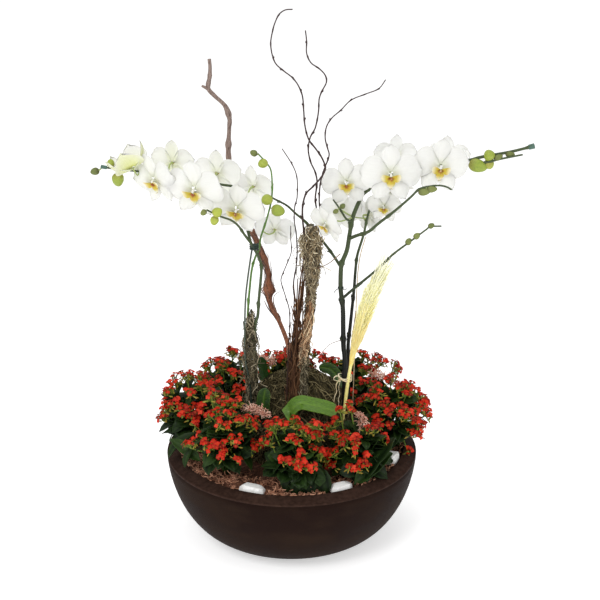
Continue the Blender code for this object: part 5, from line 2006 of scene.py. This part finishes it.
@dataclass
class Studio:
    """The floor, the soft lights and the camera."""

    floor_size: float = 60.0
    camera_place: Place = (0.0, -2.2511, 1.2434)
    tilt: float = 19.68
    yaw: float = 0.38
    lens: float = 82.2
    sensor: float = 36.0
    sky: float = 0.60
    backdrop: float = 1.0
    aim: Place = (0.0, 0.0, 0.35)
    lamps: Sequence[tuple[str, Place, float, float]] = (
        ("key", (-1.3, -2.4, 2.8), 1.4, 48.0), ("fill", (2.2, -1.8, 1.6), 1.8, 8.0),
        ("top", (0.2, 0.6, 3.2), 2.0, 18.0))

    def floor(self) -> None:
        """Lay the floor under the bowl."""
        half = self.floor_size / 2
        across = np.array([-half, -0.6, 0.6, half])
        grid = np.stack([*np.meshgrid(across, across, indexing="ij"), np.zeros((4, 4))], axis=-1)
        draft = Draft()
        draft.sheet(grid - (0, 0, 0.01), 0.02)
        floor = draft.piece("studio_floor", "", Finish.FLOOR)

    def hang(self, name: str, data: bpy.types.ID, place: Place) -> bpy.types.Object:
        """Put a lamp or a camera at its place.

        Args:
            name: Its name.
            data: The lamp or camera.
            place: Where it hangs.

        Returns:
            The object that holds it.
        """
        holder = bpy.data.objects.new(name, data)
        bpy.context.scene.collection.objects.link(holder)
        holder.location = place
        return holder

    def light(self, name: str, place: Place, size: float, power: float) -> None:
        """Hang a square soft light that looks at the middle of the plants.

        Args:
            name: Its name.
            place: Where it hangs.
            size: The length of its side.
            power: Its power in watts.
        """
        lamp = bpy.data.lights.new(name, "AREA")
        lamp.size = size
        lamp.energy = power
        turn = facing(np.subtract(place, self.aim))[0]
        self.hang(name, lamp, place).rotation_euler = mathutils.Matrix(turn.tolist()).to_euler()

    def camera(self) -> None:
        """Stand the camera in front, a little above the flowers."""
        lens = bpy.data.cameras.new("front_camera")
        lens.lens = self.lens
        lens.sensor_width = self.sensor
        lens.clip_end = 100.0
        holder = self.hang("front_camera", lens, self.camera_place)
        holder.rotation_euler = (math.radians(90 - self.tilt), 0.0, math.radians(-self.yaw))
        bpy.context.scene.camera = holder

    def backdrops(self) -> None:
        """Set a white sky that lights the plants, and a brighter one behind them."""
        world = bpy.data.worlds.new("studio")
        bpy.context.scene.world = world
        world.use_nodes = True
        tree = world.node_tree
        either = tree.nodes.new("ShaderNodeMixShader")
        ray = tree.nodes.new("ShaderNodeLightPath")
        tree.links.new(ray.outputs["Is Camera Ray"], either.inputs[0])
        skies = (tree.nodes["Background"], tree.nodes.new("ShaderNodeBackground"))
        for sky, strength, socket in zip(skies, (self.sky, self.backdrop), either.inputs[1:]):
            sky.inputs["Color"].default_value = (1.0, 1.0, 1.0, 1.0)
            sky.inputs["Strength"].default_value = strength
            tree.links.new(sky.outputs[0], socket)
        tree.links.new(either.outputs[0], tree.nodes["World Output"].inputs["Surface"])

    def build(self) -> None:
        """Set the floor, the sky, the lights and the camera."""
        self.floor()
        bpy.context.scene.view_settings.view_transform = "Standard"
        self.backdrops()
        for name, place, size, power in self.lamps:
            self.light(name, place, size, power)
        self.camera()


# ---------------- places, routes and radii, in millimetres

WILLOW = {
    "willow_tall": Branch(2.2, 1, ((8, -35, 235), (11, -32, 300), (16, -30, 356), (25, -27, 411),
        (30, -24, 465), (28, -22, 519), (19, -19, 594), (23, -30, 634), (36, -44, 654), (49, -58, 673),
        (56, -64, 690), (51, -62, 706), (41, -50, 719), (29, -34, 732), (23, -16, 751), (21, -3, 774),
        (19, -2, 797), (12, -1, 815), (2, 0, 828), (-12, 0, 839), (-25, 0, 851), (-31, 0, 867),
        (-33, 0, 885), (-30, 0, 903), (-26, 0, 917), (-19, 0, 931), (-9, 0, 938), (3, 0, 939))),
    "willow_middle": Branch(2, 1, ((15, -28, 235), (18, -25, 300), (24, -20, 356), (32, -16, 411),
        (37, -12, 465), (37, -8, 519), (44, -4, 587), (41, 5, 619), (44, 9, 646), (41, 12, 664),
        (33, 13, 682), (29, 14, 703), (32, 15, 723), (41, 16, 741), (46, 18, 767), (47, 20, 787),
        (51, 20, 800), (59, 20, 816), (57, 20, 828), (47, 20, 839), (33, 20, 849), (26, 20, 865),
        (26, 20, 884), (24, 20, 902))),
    "willow_right": Branch(2, 0.9, ((22, -36, 235), (24, -34, 300), (29, -30, 356), (37, -26, 411),
        (41, -22, 465), (42, -20, 526), (49, -18, 595), (47, -30, 626), (48, -44, 656), (53, -54, 682),
        (62, -58, 709), (60, -56, 721), (56, -46, 736), (58, -34, 752), (67, -24, 765), (82, -18, 777),
        (99, -18, 794), (123, -18, 804), (144, -19, 813), (155, -20, 828))),
    "willow_short": Branch(1.6, 0.8, ((-3, -40, 235), (-1, -38, 321), (1, -36, 367), (4, -34, 399),
        (8, -34, 423), (8, -34, 444), (4, -32, 463), (4, -28, 483), (8, -24, 506), (10, -18, 534),
        (8, -11, 566), (5, -9, 586), (6, -7, 609), (10, -6, 626), (10, -4, 657), (3, -2, 679),
        (-15, 0, 708))),
    "willow_thin": Branch(1.2, 0.7, ((-10, -46, 235), (-7, -44, 324), (-5, -42, 369), (-3, -40, 427),
        (-10, -36, 457), (-17, -30, 479), (-17, -26, 489), (-8, -22, 511), (0, -20, 533), (-1, -18, 556),
        (-1, -16, 578))),
}
WILLOW_SHOOTS = (
    Branch(4, 1.1, ((0, -34, 228), (0, -34, 300), (3, -32, 350), (10, -29, 395), (17, -26, 445),
        (23, -24, 490), (29, -20, 535))),
    Branch(4.4, 1.4, ((5, -38, 228), (6, -38, 305), (12, -36, 352), (23, -33, 405), (31, -28, 465))),
    Branch(3.6, 0.9, ((2, -41, 228), (3, -42, 310), (7, -41, 362), (10, -39, 405), (12, -37, 450),
        (16, -34, 490), (22, -30, 530))),
    Branch(3, 0.9, ((4, -36, 300), (10, -36, 352), (15, -34, 392), (12, -33, 430), (18, -31, 468),
        (20, -28, 510))),
    Branch(2.6, 0.8, ((-4, -36, 300), (-2, -36, 350), (6, -34, 400), (9, -33, 446), (11, -30, 488))),
    Branch(3.8, 1.2, ((9, -34, 228), (12, -34, 290), (22, -30, 340), (34, -24, 395))),
    Branch(3.4, 1.2, ((-3, -28, 228), (-2, -28, 290), (6, -30, 345), (16, -28, 400))),
)
THICK_BRANCH = Branch(5.6, 2.7, ((0, -22, 235), (-1, -16, 315), (-4, -6, 346), (-11, 6, 368),
    (-24, 17, 397), (-38, 30, 422), (-40, 35, 448), (-42, 40, 480), (-53, 45, 513), (-70, 50, 553),
    (-89, 55, 613), (-107, 55, 672), (-106, 55, 728), (-105, 55, 747), (-112, 55, 769), (-129, 55, 786),
    (-139, 54, 797), (-140, 53, 805), (-137, 52, 820), (-136, 51, 836), (-137, 50, 850)))
BRANCH_STUB = Branch(3, 2, ((-139, 54, 798), (-150, 48, 805)))
STAKE = Branch(1.6, 1.6, ((-67, -42, 192), (-73, -41, 294), (-80, -40, 339), (-81, -39, 387),
    (-79, -37, 450), (-74, -36, 495), (-66, -34, 547)))
LEFT_SPIKE = Branch(3.2, 1.6, ((-58, -30, 192), (-61, -31, 291), (-65, -32, 347), (-63, -34, 401),
    (-58, -35, 423), (-56, -35, 451), (-51, -37, 506), (-53, -38, 522), (-60, -39, 539), (-68, -40, 555),
    (-73, -41, 578), (-76, -42, 610), (-80, -43, 638), (-92, -44, 653), (-115, -45, 658), (-158, -45, 666),
    (-202, -45, 674), (-234, -45, 679), (-263, -45, 682), (-291, -45, 685), (-314, -45, 689)))
LEFT_LOW_BRANCH = Branch(2.5, 1.3, ((-68, -40, 555), (-78, -56, 574), (-88, -72, 595), (-100, -86, 609),
    (-118, -100, 620), (-137, -110, 633)))
LEFT_SECOND_SPIKE = Branch(2.8, 1.2, ((-74, -22, 192), (-76, -21, 290), (-78, -20, 362), (-75, -19, 432),
    (-72, -18, 466), (-68, -18, 500), (-62, -18, 522), (-55, -18, 538), (-52, -18, 558), (-43, -19, 586),
    (-35, -20, 616), (-32, -22, 637), (-32, -23, 659), (-34, -25, 678), (-40, -27, 689), (-55, -30, 707)))
RIGHT_SPIKE = Branch(5.2, 2.3, ((93, -20, 192), (94, -20, 322), (91, -20, 359), (90, -20, 395),
    (89, -20, 431), (85, -20, 465), (85, -20, 500), (87, -20, 514), (95, -20, 536), (99, -20, 563),
    (104, -20, 593), (114, -20, 620), (124, -20, 638), (157, -20, 662), (224, -20, 683), (293, -20, 692),
    (317, -20, 698), (366, -20, 707), (405, -20, 717)))
RIGHT_BRANCHES = (
    Branch(2.6, 1.6, ((85, -20, 505), (70, 9, 521), (53, 31, 538), (25, 37, 569),
        (8, 37, 584), (-7, 31, 600), (-23, 17, 613), (-34, 6, 622))),
    Branch(3.1, 1.4, ((98, -20, 556), (111, -40, 568), (129, -64, 582), (144, -78, 600),
        (170, -86, 624), (194, -92, 648), (208, -98, 664), (226, -102, 670), (239, -102, 671),
        (251, -102, 669), (260, -102, 664))),
    Branch(2.6, 1.3, ((87, -20, 447), (109, -27, 470), (144, -33, 503), (172, -40, 534),
        (197, -53, 559), (223, -67, 585), (231, -73, 593), (248, -80, 596))),
    Branch(2.2, 1.3, ((103, -20, 586), (92, -34, 596), (82, -42, 614), (70, -46, 632))),
    Branch(2.2, 1.5, ((293, -20, 692), (320, -26, 690), (350, -28, 697), (385, -28, 704))),
)
RIGHT_SECOND_SPIKE = Branch(4.2, 1.7, ((100, -6, 192), (101, -5, 315), (100, -2, 355), (103, 0, 388),
    (106, 0, 423), (109, 0, 458), (111, 0, 493), (114, 0, 521), (124, 0, 557), (131, 0, 592), (138, 1, 613),
    (147, 3, 630)))
SLIM_RODS = (
    Branch(0.9, 0.8, ((110, 12, 225), (114, 10, 437), (118, 9, 507), (128, 9, 550))),
    Branch(1.3, 0.8, ((98, -14, 250), (102, -14, 329), (112, -14, 423))),
    Branch(0.7, 0.9, ((44, -30, 506), (64, -26, 514), (84, -22, 530))),
    Branch(0.6, 0.5, ((88, -24, 373), (67, -30, 367), (53, -32, 353))),
)

LEFT_BLOOMS = (
    Bloom((-263, -48, 690), (-0.5, 0.05, 0.87), 98, lime=0.85, open=0.38),
    Bloom((-226, -60, 670), (-0.58, -0.76, -0.28), 98, 0.2),
    Bloom((-199, 2, 685), (0.3, 0.93, 0.1), 82, lime=0.55),
    Bloom((-158, -92, 662), (-0.38, -0.89, -0.22), 108),
    Bloom((-125, 0, 667), (0.15, 0.97, 0.1), 86, lime=0.3),
    Bloom((-90, -68, 622), (-0.3, -0.9, -0.3), 102, -0.1), Bloom((-64, 14, 640), (0.4, 0.85, 0.15), 80))
LEFT_SECOND_BLOOMS = (Bloom((-28, 4, 566), (0.15, 0.95, 0.12), 74),)
RIGHT_BLOOMS = (
    Bloom((92, -40, 660), (-0.1, -0.98, -0.1), 90, 0.1, lime=0.05),
    Bloom((163, -76, 683), (0, -1, 0), 105, lime=0.05),
    Bloom((245, -62, 692), (0.1, -0.98, 0), 100, -0.1, lime=0.05),
    Bloom((178, 35, 688), (0, 0.99, 0.05), 78, lime=0), Bloom((178, 8, 632), (0.2, -0.1, -0.95), 72),
    Bloom((268, 30, 687), (0.2, 0.95, 0.05), 78, lime=0),
    Bloom((57, -62, 594), (-0.72, -0.6, -0.35), 76, lime=0.1))
RIGHT_SECOND_BLOOMS = (
    Bloom((156, -34, 616), (-0.3, -0.9, -0.2), 64, lime=0.1), Bloom((86, 42, 588), (-0.2, 0.95, -0.2), 80),
    Bloom((136, 36, 582), (0.8, 0.55, -0.1), 70))
LEFT_BUDS = (
    Bud((-325, -42, 680), 6.2, 1.25, 0.4, True), Bud((-298, -42, 694), 6.4), Bud((-287, -42, 666), 10, 1.2),
    Bud((-142, -112, 629), 4.8, 1.2, olive=True), Bud((-120, -106, 628), 8), Bud((-125, -104, 613), 7))
LEFT_SECOND_BUDS = (
    Bud((-62, -31, 708), 5.5, 1.2, 0.3, True), Bud((-47, -30, 690), 7.8), Bud((-41, -28, 627), 9.2),
    Bud((-22, -26, 608), 10, 1.2))
RIGHT_BUDS = (
    Bud((312, -22, 684), 11.2, 1.45, 0.6), Bud((330, -24, 702), 9.5), Bud((331, -20, 686), 8.8),
    Bud((365, -22, 703), 5, 1.6, 0.7, True), Bud((345, -26, 699), 5, 1.6, 0.7, True),
    Bud((216, -100, 660), 6, 1.7, 0.8, True), Bud((228, -102, 665), 5.5, 1.6, 0.8, True),
    Bud((197, -53, 561), 5.2, 1.3, 0.5, True), Bud((210, -60, 573), 5.2, 1.3, 0.5, True),
    Bud((232, -74, 595), 4.6, 1.3, 0.5, True), Bud((86, -46, 621), 4.5, 1.2, 0.3, True),
    Bud((74, -48, 612), 4.2, 1.2, 0.3, True))

SPIKES = (
    FlowerSpike("orchid_left_spike", LEFT_SPIKE, (LEFT_LOW_BRANCH,), LEFT_BLOOMS, LEFT_BUDS,
                Finish.STEM, 0.30, 31, capped=True),
    FlowerSpike("orchid_left_second_spike", LEFT_SECOND_SPIKE, (), LEFT_SECOND_BLOOMS, LEFT_SECOND_BUDS,
                Finish.FRESH_STEM, 0.20, 32),
    FlowerSpike("orchid_right_spike", RIGHT_SPIKE, RIGHT_BRANCHES, RIGHT_BLOOMS, RIGHT_BUDS,
                Finish.STEM, 0.47, 33, capped=True),
    FlowerSpike("orchid_right_second_spike", RIGHT_SECOND_SPIKE, (), RIGHT_SECOND_BLOOMS, (), Finish.STEM,
                0.50, 34),
)
FLOWER_ROWS = {"flower_left": LEFT_BLOOMS + LEFT_SECOND_BLOOMS,
               "flower_right": RIGHT_BLOOMS + RIGHT_SECOND_BLOOMS}
# The front leaf takes a high shade; the left and the back leaves take low ones and come out darker: painted
# shade.
STRAP_LEAVES = (
    StrapLeaf("orchid_leaf_front", 34, (0, -0.4, 1), 0.15, 0.66, ((20, -52, 222), (4, -67, 238),
        (-1, -76, 260), (14, -79, 276), (36, -78, 272), (58, -77, 266), (78, -76, 258)), 0.9, 0.08),
    StrapLeaf("orchid_leaf_left", 23, (0, -1, 0.2), 0.1, 0.12, ((-47, -30, 226), (-50, -52, 240),
        (-50, -62, 268), (-46, -62, 298))),
    StrapLeaf("orchid_leaf_right_back", 20, (0, -1, 0.3), 0.1, 0.25, ((82, 40, 236), (86, 58, 260),
        (73, 66, 279), (50, 68, 284))),
    StrapLeaf("orchid_leaf_left_back", 17, (0, 1, 0.2), 0.1, 0, ((-40, 46, 218), (-48, 70, 242),
        (-52, 78, 272), (-56, 78, 300))),
)
HANKS = (
    FibreHank("hanging_moss_column", ["moss_column"], Finish.COLUMN, 81, 1150,
              (2, 2, 3, 4, 5, 7, 11.2, 15.2, 15.8, 11.5),
              ((24, -32, 330), (26, -28, 370), (30, -24, 420), (34, -21, 460), (35, -17, 500),
               (34, -16, 540), (34, -14, 580)),
              length=0.045, curl=0.0055, stray=0.22, core=0.42),
    FibreHank("left_moss_wrap", ["moss_wrap_left"], Finish.WRAP, 82, 460,
              (9, 10, 9.5, 5),
              ((-68, -29, 262), (-71, -29, 320), (-72, -29, 370), (-69, -29, 430)),
              length=0.045, curl=0.0055, stray=0.3, core=0.25, thickness=0.0008),
    FibreHank("tan_strands", (), Finish.TAN, 83, 110,
              (3, 5, 5, 4),
              ((18, -44, 338), (22, -44, 366), (27, -40, 400), (34, -34, 452)),
              length=0.06, curl=0.005, stray=0.55),
    FibreHank("dark_strands", (), Finish.WRAP, 84, 90,
              (4, 5, 6, 3),
              ((20, -46, 262), (22, -44, 300), (22, -44, 340), (26, -40, 372)),
              length=0.055, curl=0.0045, stray=0.35),
)
PLUME_ROUTE = ((88, -30, 192), (98, -36, 291), (102, -35, 320), (108, -34, 355), (115, -34, 383),
               (126, -34, 423), (136, -34, 456), (151, -34, 492))
PLUME_RADII = (2.2, 2.2, 2.2, 3.6, 8.5, 14.5, 18, 15)
TIES = (
    StemTie("left_stem_tape", (-63, -36, 547), 6.6, 3, 11, 1.8),
    StemTie("right_stem_wire", (85, -20, 468), 4.4, 2, 3, 0.8,
            (((-3, -4, 0), (-8, -7, -2), (-12, -7, -7)), ((2, -4, 1), (7, -7, -2), (10, -8, 1)))),
)

HEADS = {
    "right": ((144, 264, 0.8), (168, 256, 1.3), (192, 249, 1), (212, 237, 1.2), (231, 217, 1.1),
        (218, 202, 0.8), (230, 262, 0.8), (240, 245, 1), (244, 226, 0.6), (210, 173, 0.5), (173, 225, 0.5),
        (152, 277, 0.9), (177, 290, 0.9), (192, 282, 0.9), (205, 275, 0.8)),
    "front_right": ((67, 251, 1.1), (82, 244, 1), (90, 237, 0.8), (107, 245, 0.8), (108, 229, 0.8),
        (67, 212, 1), (65, 191, 0.8), (102, 198, 0.6), (101, 284, 0.8), (81, 280, 0.5)),
    "front": ((-35, 274, 1.2), (-15, 274, 0.9), (-40, 246, 1), (9, 276, 0.8), (26, 266, 1), (39, 274, 0.8),
        (46, 253, 0.7), (-11, 232, 0.7), (13, 226, 0.9), (15, 246, 0.5), (32, 218, 0.6)),
    "front_left": ((-138, 312, 0.8), (-117, 301, 1.1), (-98, 297, 1), (-133, 284, 0.8), (-117, 275, 1),
        (-139, 243, 1), (-120, 247, 0.8), (-115, 231, 0.7), (-93, 251, 1), (-90, 217, 0.5),
        (-180, 217, 0.6), (-82, 277, 0.9), (-66, 267, 0.9), (-104, 287, 0.7)),
    "left": ((-186, 301, 1), (-210, 289, 0.9), (-219, 276, 0.9), (-224, 255, 1), (-160, 297, 1.2),
        (-153, 286, 1.1), (-179, 281, 0.7), (-183, 250, 1.1), (-164, 259, 0.9), (-168, 236, 0.7),
        (-200, 262, 0.7)),
    "back_left": ((-109, 298, 0.9), (-129, 283, 1.2), (-157, 274, 0.9), (-139, 259, 1), (-110, 273, 0.8),
        (-87, 290, 0.7)),
    "back": ((44, 277, 0.8), (-16, 280, 1), (10, 280, 0.8), (-49, 271, 0.8)),
    "back_right": ((150, 282, 1), (169, 276, 0.9), (133, 290, 0.6), (197, 262, 0.9), (75, 280, 1),
        (58, 282, 0.7)),
}
BIG_LEAVES = {
    "right": (BigLeaf((177, -108, 224), (117, -156, 170), 10, 0.02, 0),
        BigLeaf((172, -124, 203), (106, -164, 168), -35, 0.55, 3)),
    # The front leaves under the heads take very low shades: partly dark leaves, partly painted shade under
    # the heads.
    "front": (BigLeaf((-4, -160, 196), (-14, -188, 167), 15, 0.04, 1),
        BigLeaf((12, -162, 196), (6, -194, 164), -10, 0.12, 1),
        BigLeaf((26, -162, 194), (28, -196, 163), 12, 0.02, 1),
        BigLeaf((36, -154, 206), (48, -186, 172), -20, 0.6, 0),
        BigLeaf((48, -158, 194), (56, -190, 164), 20, 0.08, 1)),
    "front_left": (BigLeaf((-168, -68, 216), (-222, -80, 178), -10, 0.25, 3),
        BigLeaf((-212, -74, 206), (-160, -110, 186), 35, 0.75, 3),
        BigLeaf((-170, -95, 205), (-188, -118, 176), 0, 0.35, 3)),
}
PLANTS = (
    ("right", 9, 120, 112), ("front_right", 7, 120, 100), ("front", 7, 120, 96), ("front_left", 7, 120, 98),
    ("left", 9, 120, 112), ("back_left", 15, 108, 112), ("back", 15, 108, 112), ("back_right", 15, 108, 112),
)
PEBBLES = (
    WhitePebble("pebble_front_left", (22.5, 11.5, 8.5), 91),
    WhitePebble("pebble_front_right", (20.5, 11.5, 8), 92),
    WhitePebble("pebble_right", (19, 12.5, 10.5), 93, 0.003),
)


def build_slim_rods() -> None:
    """Build the pale rod and the brown stick that stand by the right stems, and two loose straws."""
    draft = Draft()
    for rod, shade in zip(SLIM_RODS, (0.9, 0.1, 0.0, 0.0)):
        route, _, radii = rod.follow(0.006)
        draft.tubes(route, radii, 8, shade=shade)
    draft.piece("right_slim_rods", "stake_dark", Finish.TAN)


def build_stake() -> None:
    """Build the thin stake behind the left stems."""
    draft = Draft()
    route, _, radii = STAKE.follow(0.006)
    draft.tubes(route, radii, 10, tint=np.clip((0.36 - route[:, 2]) / 0.05, 0, 1))
    draft.piece("left_stake_rod", "stake_dark", Finish.STAKE, nodes=["stake_left"])


def main() -> None:
    """Build the arrangement from the bowl up, then the studio round it."""
    logging.basicConfig(level=logging.INFO, format="%(message)s")
    Studio().build()
    Bowl().build()
    bed = FibreBed()
    bed.soil()
    bed.build()
    bed.dried_tufts()
    for pebble in PEBBLES:
        pebble.build()
    MossMound().build()
    for seed, (name, *numbers) in enumerate(PLANTS, start=200):
        plant = Kalanchoe(f"kalanchoe_{name}", seed, HEADS[name], *numbers, BIG_LEAVES.get(name, ()))
        plant.foliage()
        plant.bloom()
    for leaf in STRAP_LEAVES:
        leaf.build()
    for spike in SPIKES:
        spike.build()
        if spike.capped:
            spike.tip_cap()
    for row, blooms in FLOWER_ROWS.items():
        for number, bloom in enumerate(blooms, start=1):
            MothOrchidFlower(f"{row}_{number}", bloom, 400 + number).build()
    build_stake()
    build_slim_rods()
    for tie in TIES:
        tie.build()
    BareBranch(THICK_BRANCH, BRANCH_STUB).build()
    CurlyWillow(WILLOW, WILLOW_SHOOTS).build()
    for hank in HANKS:
        hank.build()
    GrassPlume(PLUME_RADII, PLUME_ROUTE).build()
    RaffiaBow().build()
    faces = sum(len(o.data.polygons) for o in bpy.data.objects if o.type == "MESH")
    log.info("%d faces in all", faces)


if __name__ == "__main__":
    main()
